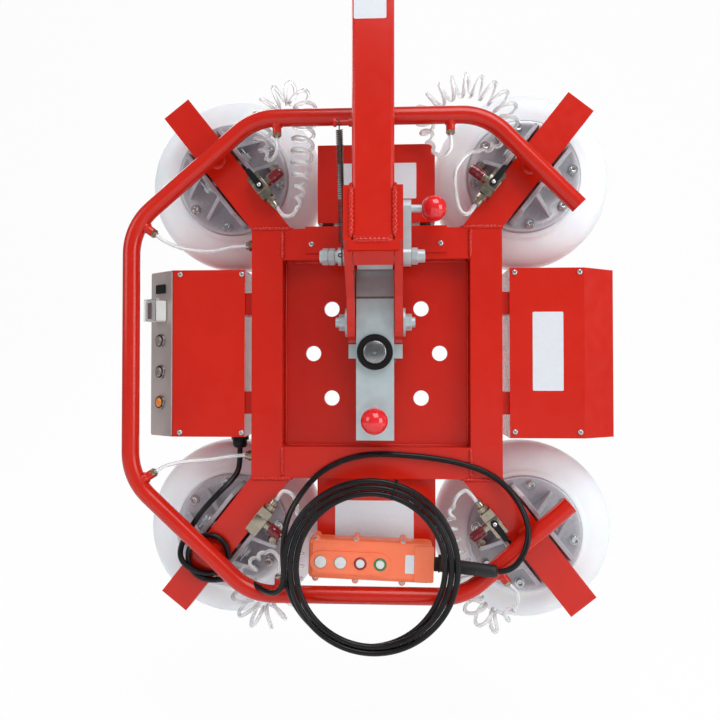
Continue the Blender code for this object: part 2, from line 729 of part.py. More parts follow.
def make_bar():
    """The zinc-plated bar that tilts between the cheeks, with its two ears."""
    arc_start = math.degrees(math.acos((BAR_BACK - TILT_Y) / BAR_END_RADIUS))
    arc_end = math.degrees(math.acos((BAR_FRONT + BAR_CHAMFER - TILT_Y) / BAR_END_RADIUS))
    edge = [(BAR_FRONT, BAR_BOTTOM), (BAR_BACK, BAR_BOTTOM)]
    edge += arc(BAR_END_RADIUS, arc_start, arc_end, 4, (TILT_Y, TILT_Z))
    edge.append((BAR_FRONT, BAR_CHAMFER_Z))
    half = BAR_WIDTH / 2
    bar = outline("swivel_bar", tilt, "YZ", [edge], -half, half, radius=0.0)
    ear_top = TILT_Z - CHEEK_EYE_RADIUS - BOX_ROUND
    ears = box("ears", tilt, (-CHEEK_OUTER, BAR_BACK - EAR_DEPTH, ear_top - EAR_HEIGHT),
               (CHEEK_OUTER, BAR_BACK - FIT, ear_top))
    reach = BAR_FRONT * 2
    cutters = [
        rod("shaft_bore", tilt, "Y", reach, -reach, SHAFT_RADIUS + FIT),
        rod("plunger_bore", tilt, "Y", reach, -reach, PLUNGER_RADIUS + FIT, (0.0, 0.0, -INDEX_CIRCLE_RADIUS)),
        rod("tilt_bore", tilt, "X", -BAR_WIDTH, BAR_WIDTH, TILT_PIN_RADIUS + FIT, (0.0, TILT_Y, TILT_Z)),
    ]
    finish(fused(bar, [ears], cutters), zinc)


def make_plunger():
    """The spring plunger that drops into the index plate, and its red ball."""
    nose = PLATE_FRONT - PLUNGER_NOSE_GAP
    tip = PLUNGER_BALL_Y + PLUNGER_STEM_RADIUS
    shoulder = BAR_FRONT - BAR_CHAMFER / 6
    profile = [
        (tip, 0.0), (tip, PLUNGER_STEM_RADIUS), (shoulder, PLUNGER_STEM_RADIUS), (shoulder, PLUNGER_RADIUS),
        (nose - FLAP_LIP, PLUNGER_RADIUS), (nose, PLUNGER_RADIUS - FLAP_LIP), (nose, 0.0),
    ]
    finish(turned("index_pin", index, "Y", profile, (0.0, 0.0, -INDEX_CIRCLE_RADIUS)), steel)
    ball = ball_profile(PLUNGER_STEM_RADIUS + FIT, PLUNGER_STEM_RADIUS)
    profile = [(PLUNGER_BALL_Y + along, radius) for along, radius in ball]
    ball = turned("index_ball", index, "Y", profile, (0.0, 0.0, -INDEX_CIRCLE_RADIUS), BALL_SIDES)
    finish(ball, red_plastic)


def ball_profile(bore, depth):
    """A ball knob about its centre, open towards plus along its axis for its stem."""
    flat = bore * 1.3
    rim = math.degrees(math.asin(flat / BALL_RADIUS))
    skin = arc(BALL_RADIUS, 180, rim, 8)
    points = [(along, max(0.0, radius)) for along, radius in skin]
    edge = points[-1][0]
    points += [(edge, bore), (depth - FIT, bore), (depth - FIT, 0.0)]
    points[0] = (-BALL_RADIUS, 0.0)
    return points


def make_swivel_shaft():
    """The flanged shaft bolted through the index plate, and the ring that keeps the
    bar on it."""
    neck = BAR_BACK + FIT
    flange_back = PLATE_FRONT - FIT
    flange_front = flange_back - SHAFT_FLANGE_THICKNESS
    profile = [
        (SHAFT_FRONT, 0.0), (SHAFT_FRONT, SHAFT_RADIUS - BOX_ROUND), (SHAFT_FRONT + BOX_ROUND, SHAFT_RADIUS),
        (neck, SHAFT_RADIUS), (neck, SHAFT_NECK_RADIUS), (flange_front, SHAFT_NECK_RADIUS),
        (flange_front, SHAFT_FLANGE_RADIUS), (flange_back, SHAFT_FLANGE_RADIUS),
        (flange_back, SHAFT_RADIUS), (SHAFT_BACK, SHAFT_RADIUS), (SHAFT_BACK, 0.0),
    ]
    shaft = turned("hub_shaft", swivel, "Y", profile)
    nut_front = PLATE_FRONT + PLATE_THICKNESS + FIT
    nut = hex_nut("hub_nut", swivel, nut_front, nut_front + HUB_NUT_THICKNESS, HUB_NUT_RADIUS, (0.0, 0.0), "XZ")
    finish(fused(shaft, [nut]), steel)
    bore = SHAFT_RADIUS + FIT
    front = BAR_FRONT - FIT - RING_THICKNESS
    profile = [(front, bore), (front, RING_RADIUS), (BAR_FRONT - FIT, RING_RADIUS), (BAR_FRONT - FIT, bore)]
    finish(turned("hub_ring", swivel, "Y", profile, ring=True), black)


def make_frame():
    """The square frame with its four arms, and the index plate set in its window."""
    along = Vector((math.cos(ARM_ANGLE), math.sin(ARM_ANGLE)))
    across = Vector((math.sin(ARM_ANGLE), -math.cos(ARM_ANGLE))) * RAIL / 2
    end = Vector((ARM_FOOT_X, FRAME_HALF)) + along * ARM_LENGTH
    inner_foot = ARM_FOOT_X - RAIL / 2 / math.sin(ARM_ANGLE)
    arm = [Vector((FRAME_HALF, FRAME_HALF - ARM_WELD)), end + across, end - across, Vector((inner_foot, FRAME_HALF))]
    edge = [(p.x, p.y) for p in arm]
    edge += [(-p.x, p.y) for p in reversed(arm)]
    edge += [(-p.x, -p.y) for p in arm]
    edge += [(p.x, -p.y) for p in reversed(arm)]
    hole = [(-WINDOW_HALF, -WINDOW_HALF), (WINDOW_HALF, -WINDOW_HALF),
            (WINDOW_HALF, WINDOW_HALF), (-WINDOW_HALF, WINDOW_HALF)]
    rails = outline("frame_rails", swivel, "XZ", [edge, hole], 0.0, RAIL)
    additions = [rod("cup_pin", cup_pivots[corner], "X", -CUP_PIN_HALF, CUP_PIN_HALF, CUP_PIN_RADIUS,
                     sides=THIN_SIDES) for corner in CORNERS]
    end = -FRAME_HALF - FITTING_SIDE_LENGTH
    for z in SIDE_FITTING_Z.values():
        additions.append(rod("side_fitting", swivel, "X", end, -FRAME_HALF + FITTING_RADIUS, FITTING_RADIUS,
                             (0.0, SIDE_FITTING_Y, z), THIN_SIDES))
    finish(fused(rails, additions), red)

    half = WINDOW_HALF - FIT
    edge = [(-half, -half), (half, -half), (half, half), (-half, half)]
    holes = [circle(SHAFT_RADIUS + FIT)]
    for number in range(INDEX_HOLES):
        angle = 2 * math.pi * number / INDEX_HOLES
        centre = (INDEX_CIRCLE_RADIUS * math.sin(angle), INDEX_CIRCLE_RADIUS * math.cos(angle))
        holes.append(circle(INDEX_HOLE_RADIUS, ROUND_SIDES, centre))
    plate = outline("index_plate", swivel, "XZ", [edge] + holes, PLATE_FRONT, PLATE_FRONT + PLATE_THICKNESS)
    finish(plate, red)


def make_lock():
    """The cross shaft with its collar and nuts, the pawl between the cheeks, the
    lever with its ball, and the spring that pulls them home."""
    at = (0.0, LOCK_Y, LOCK_Z)
    bore = LOCK_RADIUS + FIT
    collar = -CHEEK_OUTER - LOCK_CLEARANCE
    profile = [
        (LOCK_LEFT, 0.0), (LOCK_LEFT, LOCK_RADIUS), (collar - COLLAR_WIDTH, LOCK_RADIUS),
        (collar - COLLAR_WIDTH, COLLAR_RADIUS), (collar, COLLAR_RADIUS), (collar, LOCK_RADIUS),
        (LOCK_RIGHT, LOCK_RADIUS), (LOCK_RIGHT, 0.0),
    ]
    lever_near = CHEEK_OUTER + LOCK_CLEARANCE
    lever_far = lever_near + LEVER_THICKNESS
    left_far = LOCK_LEFT + RAIL_ROUND
    shaft = turned("lock_shaft", lock, "X", profile, at)
    nuts = [hex_nut("lock_nut", lock, near, near + LOCK_NUT_THICKNESS, LOCK_NUT_RADIUS, (LOCK_Y, LOCK_Z))
            for near in (left_far, lever_far + FIT)]
    finish(fused(shaft, nuts), steel)

    toward_bar = Vector((TILT_Y - LOCK_Y, TILT_Z - LOCK_Z))
    nose = toward_bar.length - BAR_END_RADIUS - LOCK_CLEARANCE
    heading = math.degrees(math.atan2(toward_bar.y, toward_bar.x))
    edge = arc(PAWL_EYE_RADIUS, heading + 40, heading + 320, 14)
    edge += arc(nose, heading - 12, heading + 12, 2)
    pawl = outline("lock_pawl", lock, "YZ", [edge, circle(bore)], -PAWL_WIDTH / 2, PAWL_WIDTH / 2,
                   (LOCK_Y, LOCK_Z))
    finish(pawl, steel)

    edge = arc(LEVER_EYE_RADIUS, 150, 390, 14)
    edge += arc(LEVER_HALF_WIDTH, 0, 180, 8, (0.0, LEVER_RISE - LEVER_HALF_WIDTH))
    lever = outline("lock_lever", lock, "YZ", [edge, circle(bore)], lever_near, lever_far, (LOCK_Y, LOCK_Z))
    stem_z = LOCK_Z + LEVER_RISE - LEVER_STEM_DROP
    stem_end = LEVER_BALL_X - LEVER_STEM_RADIUS * 2
    stem = rod("lever_stem", lock, "X", lever_near + LEVER_THICKNESS / 2, stem_end, LEVER_STEM_RADIUS,
               (0.0, LOCK_Y, stem_z))
    finish(fused(lever, [stem]), steel)
    ball = ball_profile(LEVER_STEM_RADIUS + FIT, LEVER_STEM_RADIUS * 2)
    profile = [(LEVER_BALL_X - along, radius) for along, radius in ball]
    finish(turned("lock_ball", lock, "X", profile, (0.0, LOCK_Y, stem_z), BALL_SIDES), red_plastic)

    hook = SPRING_POST_RADIUS + SPRING_WIRE + FIT * 2
    top = Vector((collar - COLLAR_WIDTH / 2, MAST_CENTRE_Y, SPRING_POST_Z))
    collar_hook = COLLAR_RADIUS + SPRING_WIRE + FIT * 2
    low = Vector((collar - COLLAR_WIDTH / 2, LOCK_Y, LOCK_Z))
    leave = Vector((0.0, top.y - low.y, top.z - low.z)).normalized()
    ends = (top - leave * (hook + SPRING_RADIUS), low + leave * (collar_hook + SPRING_RADIUS))
    axis = ends[1] - ends[0]
    sideways = Vector((1.0, 0.0, 0.0))
    forward = axis.normalized().cross(sideways)
    points = []
    for degrees in (-45, 0, 45, 90, 135):
        angle = math.radians(degrees)
        points.append(top + (leave * math.cos(angle) - forward * math.sin(angle)) * hook)
    points.append(ends[0])
    per_turn = 8
    for step in range(SPRING_TURNS * per_turn + 1):
        angle = 2 * math.pi * step / per_turn
        ring = sideways * math.cos(angle) + forward * math.sin(angle)
        points.append(ends[0] + axis * step / (SPRING_TURNS * per_turn) + ring * SPRING_RADIUS)
    points += [ends[1], low + leave * collar_hook]
    finish(tube("return_spring", root, points, SPRING_WIRE, resolution=1), steel)


def make_handrail():
    """The bent tube round the frame, on four posts welded to the arms, with bosses
    for the hoses that it carries air to."""
    route = bent_route(HANDRAIL_ROUTE, HANDRAIL_BEND)
    rail = tube("handrail", swivel, [(p.x, HANDRAIL_Y, p.y) for p in route], HANDRAIL_RADIUS)
    rail = as_mesh(rail)
    runs = {"ur": (0, 1), "ul": (2, 3), "ll": (4, 5), "lr": (6, 7)}
    pieces = []
    for corner, (first, second) in runs.items():
        along, foot = arm_axes(corner)[2:]
        place = crossing(HANDRAIL_ROUTE[first], HANDRAIL_ROUTE[second], foot, foot + along)
        pieces.append(rod("post", swivel, "Y", HANDRAIL_Y, -FIT, POST_RADIUS, (place.x, 0.0, place.y)))
    for (x, z), (to_x, to_z) in HOSE_BOSSES.values():
        boss = rod("boss", swivel, "Z", HANDRAIL_RADIUS / 2, BOSS_REACH, BOSS_RADIUS, sides=THIN_SIDES)
        seat(boss, swivel, (x, HANDRAIL_Y, z), (0.0, math.atan2(to_x, to_z), 0.0))
        pieces.append(boss)
    finish(fused(rail, pieces), red)


def make_housings():
    """The control and pump housings beside the frame, and the two boxes above and
    below it, the upper one on rubber feet over a bent bracket."""
    inner = FRAME_HALF + BOX_GAP_TO_RAIL
    housings = (("control_box", -1, BOX_SLOPE_WIDTH), ("pump_box", 1, PUMP_SLOPE_WIDTH))
    for name, side, slope in housings:
        front = inner + BOX_FACE_WIDTH
        edge = [(inner, BOX_FRONT), (front, BOX_FRONT), (front + slope, BOX_FRONT + BOX_SLOPE_DEPTH),
                (front + slope, BOX_BACK), (inner, BOX_BACK)]
        loop = [(side * x, y) for x, y in edge]
        housing = outline(name, swivel, "XY", [loop], -BOX_HALF_HEIGHT, BOX_HALF_HEIGHT)
        lugs = []
        for z in (-BOX_LUG_Z, BOX_LUG_Z):
            near, far = sorted((side * (FRAME_HALF + FIT), side * (inner + BOX_ROUND)))
            lugs.append(box("lug", swivel, (near, BOX_LUG_DEPTH / 3, z - BOX_LUG_HEIGHT / 2),
                            (far, BOX_LUG_DEPTH * 4 / 3, z + BOX_LUG_HEIGHT / 2)))
        if side < 0:
            x, y = GLAND_PLACE
            base = -BOX_HALF_HEIGHT
            profile = [
                (base + BOX_ROUND, 0.0), (base + BOX_ROUND, GLAND_RADIUS), (base - GLAND_LENGTH * 0.6, GLAND_RADIUS),
                (base - GLAND_LENGTH, CABLE_RADIUS * 1.4), (base - GLAND_LENGTH, 0.0),
            ]
            lugs.append(turned("cable_gland", swivel, "Z", profile, (x, y, 0.0), THIN_SIDES))
        finish(fused(housing, lugs), red)

    shelf = FRAME_HALF + FIT + BRACKET_THICKNESS
    low = shelf + FIT * 2 + FOOT_HEIGHT
    half = TOP_BOX_HALF_WIDTH
    top = box("top_box", swivel, (-half, TOP_BOX_FRONT, low), (half, TOP_BOX_BACK, low + TOP_BOX_HEIGHT))
    feet = []
    for x in (-FOOT_X, FOOT_X):
        for y in (TOP_BOX_FRONT + FOOT_INSET, TOP_BOX_BACK - FOOT_INSET):
            feet.append(rod("foot", swivel, "Z", shelf + FIT, low + BOX_ROUND, FOOT_RADIUS, (x, y, 0.0), THIN_SIDES))
    finish(fused(top, feet), red)
    high = -FRAME_HALF - FIT
    bottom = box("bottom_box", swivel, (-half, TOP_BOX_FRONT, high - TOP_BOX_HEIGHT), (half, TOP_BOX_BACK, high),
                 BOX_ROUND, 1)
    finish(bottom, red)

    edge = [(-FIT, FRAME_HALF - BRACKET_DROP), (-FIT, FRAME_HALF + FIT), (TOP_BOX_BACK, FRAME_HALF + FIT),
            (TOP_BOX_BACK, shelf), (-FIT - BRACKET_THICKNESS, shelf),
            (-FIT - BRACKET_THICKNESS, FRAME_HALF - BRACKET_DROP)]
    finish(outline("top_bracket", swivel, "YZ", [edge], -BRACKET_HALF_WIDTH, BRACKET_HALF_WIDTH), red)


def make_panel():
    """The plate on the control housing's slope, with a display, a breaker under a
    clear flap, and three round push buttons in raised bezels."""
    skin = FIT + PANEL_THICKNESS
    half = PANEL_WIDTH / 2
    edge = [(-half, -PANEL_HALF_HEIGHT), (half, -PANEL_HALF_HEIGHT), (half, PANEL_HALF_HEIGHT),
            (-half, PANEL_HALF_HEIGHT)]
    bore = BUTTON_RADIUS + FIT
    plate = outline("control_panel", panel, "XZ", [edge], -skin, -FIT)
    additions = []
    bores = []
    inside = -skin + PANEL_THICKNESS / 2
    for z in BUTTON_Z.values():
        profile = [(-skin - BEZEL_HEIGHT, 0.0), (-skin - BEZEL_HEIGHT, BEZEL_RADIUS - BOX_ROUND),
                   (-skin - BEZEL_HEIGHT / 2, BEZEL_RADIUS), (inside, BEZEL_RADIUS), (inside, 0.0)]
        additions.append(turned("bezel", panel, "Y", profile, (0.0, 0.0, z)))
        bores.append(rod("bore", panel, "Y", -BEZEL_RADIUS, BEZEL_RADIUS, bore, (0.0, 0.0, z), BALL_SIDES))
    wide = DISPLAY_WIDTH / 2
    additions.append(box("display", panel, (-wide, -skin - DISPLAY_DEPTH, DISPLAY_Z - DISPLAY_HEIGHT / 2),
                         (wide, inside, DISPLAY_Z + DISPLAY_HEIGHT / 2)))
    finish(fused(plate, additions, bores), silver)
    bezel = -skin - FIT

    wide = BREAKER_WIDTH / 2
    low = BREAKER_Z - BREAKER_HEIGHT / 2
    high = BREAKER_Z + BREAKER_HEIGHT / 2
    front = bezel - BREAKER_DEPTH
    body = box("breaker", panel, (-wide, front, low), (wide, bezel, high), BOX_ROUND, 1)
    finish(body, grey)
    face = front - FIT * 2
    outer = face - FLAP_THICKNESS
    roof = high + FIT * 2
    edge = [(outer, low), (face, low), (face, roof), (front + FLAP_LIP, roof),
            (front + FLAP_LIP, roof + FLAP_THICKNESS), (outer, roof + FLAP_THICKNESS)]
    finish(outline("breaker_flap", flap, "YZ", [edge], -wide, wide), clear)
    for name, z in BUTTON_Z.items():
        back = -FIT - BUTTON_TRAVEL - FIT
        cap = [(back - BUTTON_HEIGHT, 0.0), (back - BUTTON_HEIGHT, BUTTON_RADIUS - BOX_ROUND / 2),
               (back - BUTTON_HEIGHT + BOX_ROUND / 2, BUTTON_RADIUS), (back, BUTTON_RADIUS), (back, 0.0)]
        button = turned(name, panel_buttons[name], "Y", cap, (0.0, 0.0, z), BALL_SIDES)
        finish(button, amber if name == "panel_button_lamp" else steel)


def make_cups():
    """Four suction cups: a cast clevis on a pin through the arm, and a wide pad."""
    inner = RAIL / 2 + RAIL_GAP
    outer = inner + CLEVIS_THICKNESS
    front = CLEVIS_FRONT - CUP_PIN_Y
    face = CASTING_FRONT - CUP_PIN_Y
    back = face + CASTING_THICKNESS
    sink = CASTING_THICKNESS / 2
    long = CLEVIS_HALF_LENGTH
    short = long - (face - front) / 3
    first = list(CORNERS)[0]
    carrier = cup_pivots[first]
    disc = rod("cup_casting", carrier, "Y", face, back, CASTING_RADIUS, sides=WIDE_SIDES)
    additions = []
    for side in (-1, 1):
        edge = [(front, -short), (front, short), (face + sink, long), (face + sink, -long)]
        near, far = sorted((side * inner, side * outer))
        additions.append(outline("clevis", carrier, "YZ", [edge], near, far))
        for z in (-GUSSET_SPACING / 2, GUSSET_SPACING / 2):
            fin = [(side * (outer - sink), front + sink), (side * (outer + GUSSET_REACH), face + sink),
                   (side * (outer - sink), face + sink)]
            additions.append(outline("gusset", carrier, "XY", [fin], z - GUSSET_THICKNESS / 2,
                                     z + GUSSET_THICKNESS / 2))
    bore = rod("bore", carrier, "X", -CASTING_RADIUS, CASTING_RADIUS, CUP_PIN_RADIUS + FIT, sides=THIN_SIDES)
    casting = fused(disc, additions, [bore])

    lip = back + CUP_DEPTH
    rim = CUP_RADIUS
    pad_profile = [
        (back + FIT, 0.0), (back + FIT, CASTING_RADIUS + RAIL_GAP), (back + CUP_WALL, rim - CUP_LIP),
        (back + CUP_DEPTH * 0.6, rim), (lip - CUP_LIP / 4, rim), (lip, rim - CUP_LIP / 8),
        (lip, rim - CUP_LIP), (lip - CUP_LIP, rim - CUP_LIP * 1.6), (back + CUP_WALL * 2, rim - CUP_LIP * 3),
        (back + CUP_WALL * 1.4, CASTING_RADIUS), (back + CUP_WALL * 1.4, 0.0),
    ]
    pad = turned("suction_cup", carrier, "Y", pad_profile, sides=WIDE_SIDES)
    pad_mesh = evaluated_mesh(pad)
    casting_mesh = casting.data
    casting_mesh.transform(TURN_Y_AXIS)
    pad_mesh.transform(TURN_Y_AXIS)
    for corner in CORNERS:
        for name, mesh, material in (("cup_casting_", casting_mesh, aluminium), ("suction_cup_", pad_mesh, silicone)):
            piece = bpy.data.objects.new(name + corner, mesh)
            lifter.objects.link(piece)
            piece.parent = cup_pivots[corner]
            finish(piece, material)
    bpy.data.objects.remove(casting, do_unlink=True)
    bpy.data.objects.remove(pad, do_unlink=True)


def make_air_line():
    """A valve block on each arm with a hose fitting at its end and a filter on its
    side, and turning handles on three of them."""
    near_y = -FIT - VALVE_DEPTH
    middle = near_y + VALVE_DEPTH / 2
    half = VALVE_LENGTH / 2
    neck = FILTER_HEIGHT / 3
    for corner in CORNERS:
        side = inner_side(corner)
        carrier = air_pivots[corner]
        near, far = sorted((side * (RAIL / 2 - VALVE_WIDTH / 3), side * (RAIL / 2 + VALVE_WIDTH * 2 / 3)))
        block = box("air_valve_" + corner, carrier, (near, near_y, -half), (far, -FIT, half))
        fitting = rod("hose_fitting", carrier, "Z", -half - FITTING_LENGTH, -half + BOX_ROUND, FITTING_RADIUS,
                      ((near + far) / 2, middle, 0.0), THIN_SIDES)
        start = RAIL / 2 + VALVE_WIDTH * 2 / 3
        marks = [start - BOX_ROUND, start - BOX_ROUND, start + neck, start + neck,
                 start + neck + FILTER_HEIGHT, start + neck + FILTER_HEIGHT]
        radii = [0.0, FITTING_RADIUS, FITTING_RADIUS, FILTER_RADIUS, FILTER_RADIUS * 0.8, 0.0]
        profile = [(side * mark, radius) for mark, radius in zip(marks, radii)]
        strainer = turned("filter", carrier, "X", profile, (0.0, middle, 0.0), THIN_SIDES)
        finish(fused(block, [fitting, strainer]), nickel)
        if corner in HANDLE_CORNERS:
            lever = arc(HANDLE_HUB_RADIUS, 150, 390, 10)
            lever += arc(HANDLE_WIDTH / 2, 0, 180, 6, (0.0, HANDLE_LENGTH - HANDLE_WIDTH / 2))
            handle = outline("valve_handle_" + corner, handle_pivots[corner], "XZ", [lever],
                             near_y - FIT - HANDLE_THICKNESS, near_y - FIT, ((near + far) / 2, 0.0))
            finish(handle, black)


def make_pendant():
    """The orange pendant control with four push buttons, and its cable's boot."""
    half = PENDANT_LENGTH / 2
    tall = PENDANT_HEIGHT / 2
    field = PENDANT_FRONT - PENDANT_FIELD_RISE
    case = box("pendant_case", pendant, (-half, PENDANT_FRONT, -tall), (half, PENDANT_BACK, tall), PENDANT_CORNER)
    end = PENDANT_FIELD_HEIGHT / 2
    straight = PENDANT_FIELD_LENGTH / 2 - end
    edge = arc(end, -90, 90, 10, (straight, 0.0)) + arc(end, 90, 270, 10, (-straight, 0.0))
    raised = outline("field", pendant, "XZ", [edge], field, PENDANT_FRONT + PENDANT_CORNER,
                     (PENDANT_FIELD_X, PENDANT_FIELD_Z))
    wells = []
    deep = field + PENDANT_BUTTON_WELL
    for name, x in pendant_button_places().items():
        wells.append(rod("well", pendant, "Y", field - PENDANT_CORNER, deep, PENDANT_BUTTON_RADIUS + FIT,
                         (x, 0.0, PENDANT_FIELD_Z)))
        front = field - PENDANT_BUTTON_PROUD
        back = deep - PENDANT_BUTTON_TRAVEL - FIT
        cap = [(front, 0.0), (front, PENDANT_BUTTON_RADIUS - BOX_ROUND / 2),
               (front + BOX_ROUND / 2, PENDANT_BUTTON_RADIUS), (back, PENDANT_BUTTON_RADIUS), (back, 0.0)]
        place = (x, 0.0, PENDANT_FIELD_Z)
        finish(turned(name, pendant_buttons[name], "Y", cap, place, BALL_SIDES), white)
    finish(fused(case, [raised], wells), orange)
    start = half + FIT + BOOT_RADIUS * math.sin(BOOT_SLANT)
    profile = [(0.0, 0.0), (0.0, BOOT_RADIUS), (BOOT_LENGTH * 0.7, BOOT_RADIUS * 0.9),
               (BOOT_LENGTH, BOOT_END_RADIUS), (BOOT_LENGTH, 0.0)]
    boot = turned("pendant_boot", pendant, "X", profile)
    turn = TURNED_TURN["X"]
    seat(boot, pendant, (start, BOOT_Y, PENDANT_FIELD_Z), (turn[0], turn[1], -BOOT_SLANT))
    finish(boot, black)


def pendant_button_places():
    """Each pendant button's name and its place along the pendant."""
    middle = (PENDANT_BUTTONS - 1) / 2
    return {f"pendant_button_{number + 1}": PENDANT_FIELD_X + (number - middle) * PENDANT_BUTTON_SPACING
            for number in range(PENDANT_BUTTONS)}


def make_cables():
    """The pendant's cable with its coil and the loops round a post, and the hoses."""
    spacing = CABLE_RADIUS * 5
    cable_runs = (("cable_from_boot", CABLE_FROM_BOOT), ("cable_to_loops", CABLE_TO_LOOPS),
                  ("cable_to_gland", CABLE_TO_GLAND))
    for name, route in cable_runs:
        finish(tube(name, swivel, smooth_route(route, spacing), CABLE_RADIUS), cable_black)
    for name, centre, inner, outer, front, back in (
            ("cable_coil", COIL_CENTRE, COIL_INNER, COIL_OUTER, COIL_FRONT, COIL_BACK),
            ("cable_loops", LOOP_CENTRE, LOOP_INNER, LOOP_OUTER, LOOP_FRONT, LOOP_BACK)):
        corner = (back - front) / 4
        profile = [
            (front, inner + corner), (front, outer - corner), (front + corner * 2, outer),
            (back, outer - corner), (back, inner + corner), (back - corner * 2, inner),
        ]
        coil = turned(name, swivel, "Y", profile, (centre[0], 0.0, centre[1]), WIDE_SIDES, ring=True)
        finish(coil, cable_black)

    for name, route in HOSE_ROUTES.items():
        places = smooth_route([point[:3] for point in route], CURLY_RADIUS)
        shares = [point.x for point in smooth_route_shares(route, len(places))]
        finish(tube(name, swivel, places, CURLY_RADIUS, shares), hose_clear)
    for name, route in PLAIN_HOSES.items():
        finish(tube(name, swivel, smooth_route(route, HOSE_RADIUS * 5), HOSE_RADIUS), hose_clear)


def smooth_route_shares(route, count):
    """The radius shares of a curly hose, spread over the same even points."""
    spots = [Vector(point[:3]) for point in route]
    lengths = [0.0]
    for first, second in zip(spots, spots[1:]):
        lengths.append(lengths[-1] + (second - first).length)
    shares = []
    for index in range(count):
        target = lengths[-1] * index / (count - 1)
        place = 0
        while place < len(spots) - 2 and lengths[place + 1] < target:
            place += 1
        step = lengths[place + 1] - lengths[place]
        blend = (target - lengths[place]) / step
        shares.append(Vector((route[place][3] * (1 - blend) + route[place + 1][3] * blend, 0.0)))
    return shares


clear_scene()
lifter = bpy.data.collections.new("vacuum_lifter")
bpy.context.scene.collection.children.link(lifter)

red = paint("red powder coat", (0.62, 0.02, 0.015), 0.35)
red_plastic = paint("red plastic", (0.65, 0.01, 0.03), 0.25)
steel = paint("bright steel", (0.62, 0.62, 0.60), 0.3, 1.0)
zinc = paint("zinc plate", (0.60, 0.61, 0.60), 0.4, 1.0)
nickel = paint("nickel plate", (0.66, 0.62, 0.55), 0.25, 1.0)
aluminium = paint("cast aluminium", (0.60, 0.61, 0.62), 0.45, 1.0)
silver = paint("brushed panel", (0.66, 0.67, 0.68), 0.35, 1.0)
black = paint("black plastic", (0.012, 0.012, 0.012), 0.45)
cable_black = paint("black cable", (0.012, 0.012, 0.012), 0.4)
grey = paint("grey plastic", (0.30, 0.31, 0.32), 0.5)
clear = paint("clear plastic", (0.85, 0.88, 0.90), 0.1, alpha=0.35)
hose_clear = paint("clear hose", (0.80, 0.83, 0.85), 0.15, alpha=0.5)
silicone = paint("white silicone", (0.78, 0.80, 0.82), 0.4)
orange = paint("orange plastic", (0.80, 0.12, 0.01), 0.4)
white = paint("white plastic", (0.75, 0.75, 0.73), 0.4)
amber = paint("amber lens", (0.80, 0.25, 0.01), 0.2)

TURN_Y_AXIS = Matrix.Rotation(TURNED_TURN["Y"][0], 4, "X")

root = pivot("swivel_axis_frame", (0.0, 0.0, 0.0))
root.location = (0.0, -MAST_CENTRE_Y, -EYE_Z)
tilt = pivot("tilt_axis", (0.0, TILT_Y, TILT_Z), root)
swivel = pivot("swivel_axis", (0.0, 0.0, 0.0), tilt)
index = pivot("index_axis", (0.0, 0.0, -INDEX_CIRCLE_RADIUS), tilt)
lock = pivot("lock_axis", (0.0, LOCK_Y, LOCK_Z), root)
cup_pivots = {}
air_pivots = {}
handle_pivots = {}
for corner_name in CORNERS:
    cup_pivots[corner_name] = pivot("cup_axis_" + corner_name, arm_point(corner_name, CUP_DISTANCE, CUP_PIN_Y),
                                    swivel, arm_turn(corner_name))
    air_pivots[corner_name] = pivot("air_axis_" + corner_name, arm_point(corner_name, VALVE_DISTANCE, 0.0),
                                    swivel, arm_turn(corner_name))
for corner_name in HANDLE_CORNERS:
    spot = (inner_side(corner_name) * (RAIL / 2 + VALVE_WIDTH / 6), 0.0, 0.0)
    handle_pivots[corner_name] = pivot("handle_axis_" + corner_name, spot, air_pivots[corner_name])
panel_middle = (
    -(FRAME_HALF + BOX_GAP_TO_RAIL + BOX_FACE_WIDTH + BOX_SLOPE_WIDTH / 2),
    BOX_FRONT + BOX_SLOPE_DEPTH / 2,
    0.0,
)
panel = pivot("panel_face", panel_middle, swivel, (0.0, 0.0, -math.atan2(BOX_SLOPE_DEPTH, BOX_SLOPE_WIDTH)))
flap_front = -(FIT * 2 + PANEL_THICKNESS + BREAKER_DEPTH)
flap_rise = BREAKER_HEIGHT / 2 + FIT * 2 + FLAP_THICKNESS / 2
flap = pivot("flap_axis", (0.0, flap_front + FLAP_LIP, BREAKER_Z + flap_rise), panel)
panel_buttons = {name: pivot(name + "_axis", (0.0, 0.0, z), panel) for name, z in BUTTON_Z.items()}
pendant = pivot("pendant_frame", (PENDANT_X, 0.0, PENDANT_Z), swivel, (0.0, PENDANT_TILT, 0.0))
pendant_buttons = {
    name: pivot(name + "_axis", (x, 0.0, PENDANT_FIELD_Z), pendant)
    for name, x in pendant_button_places().items()
}

make_mast()
make_tilt_pin()
make_bar()
make_plunger()
make_swivel_shaft()
make_frame()
make_lock()
make_handrail()
make_housings()
make_panel()
make_cups()
make_air_line()
make_pendant()
make_cables()
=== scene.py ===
"""A vacuum lifter for plates and glass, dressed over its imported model.

The red welded frame hangs from a square mast and carries four white suction pads on
diagonal arms, a bent handrail, a control box, a pump box and a corded pendant control.
Lengths are in metres, x to the right, y away from the operator, z up, and the origin is
the centre of the eye that the mast hangs from.
"""
import math

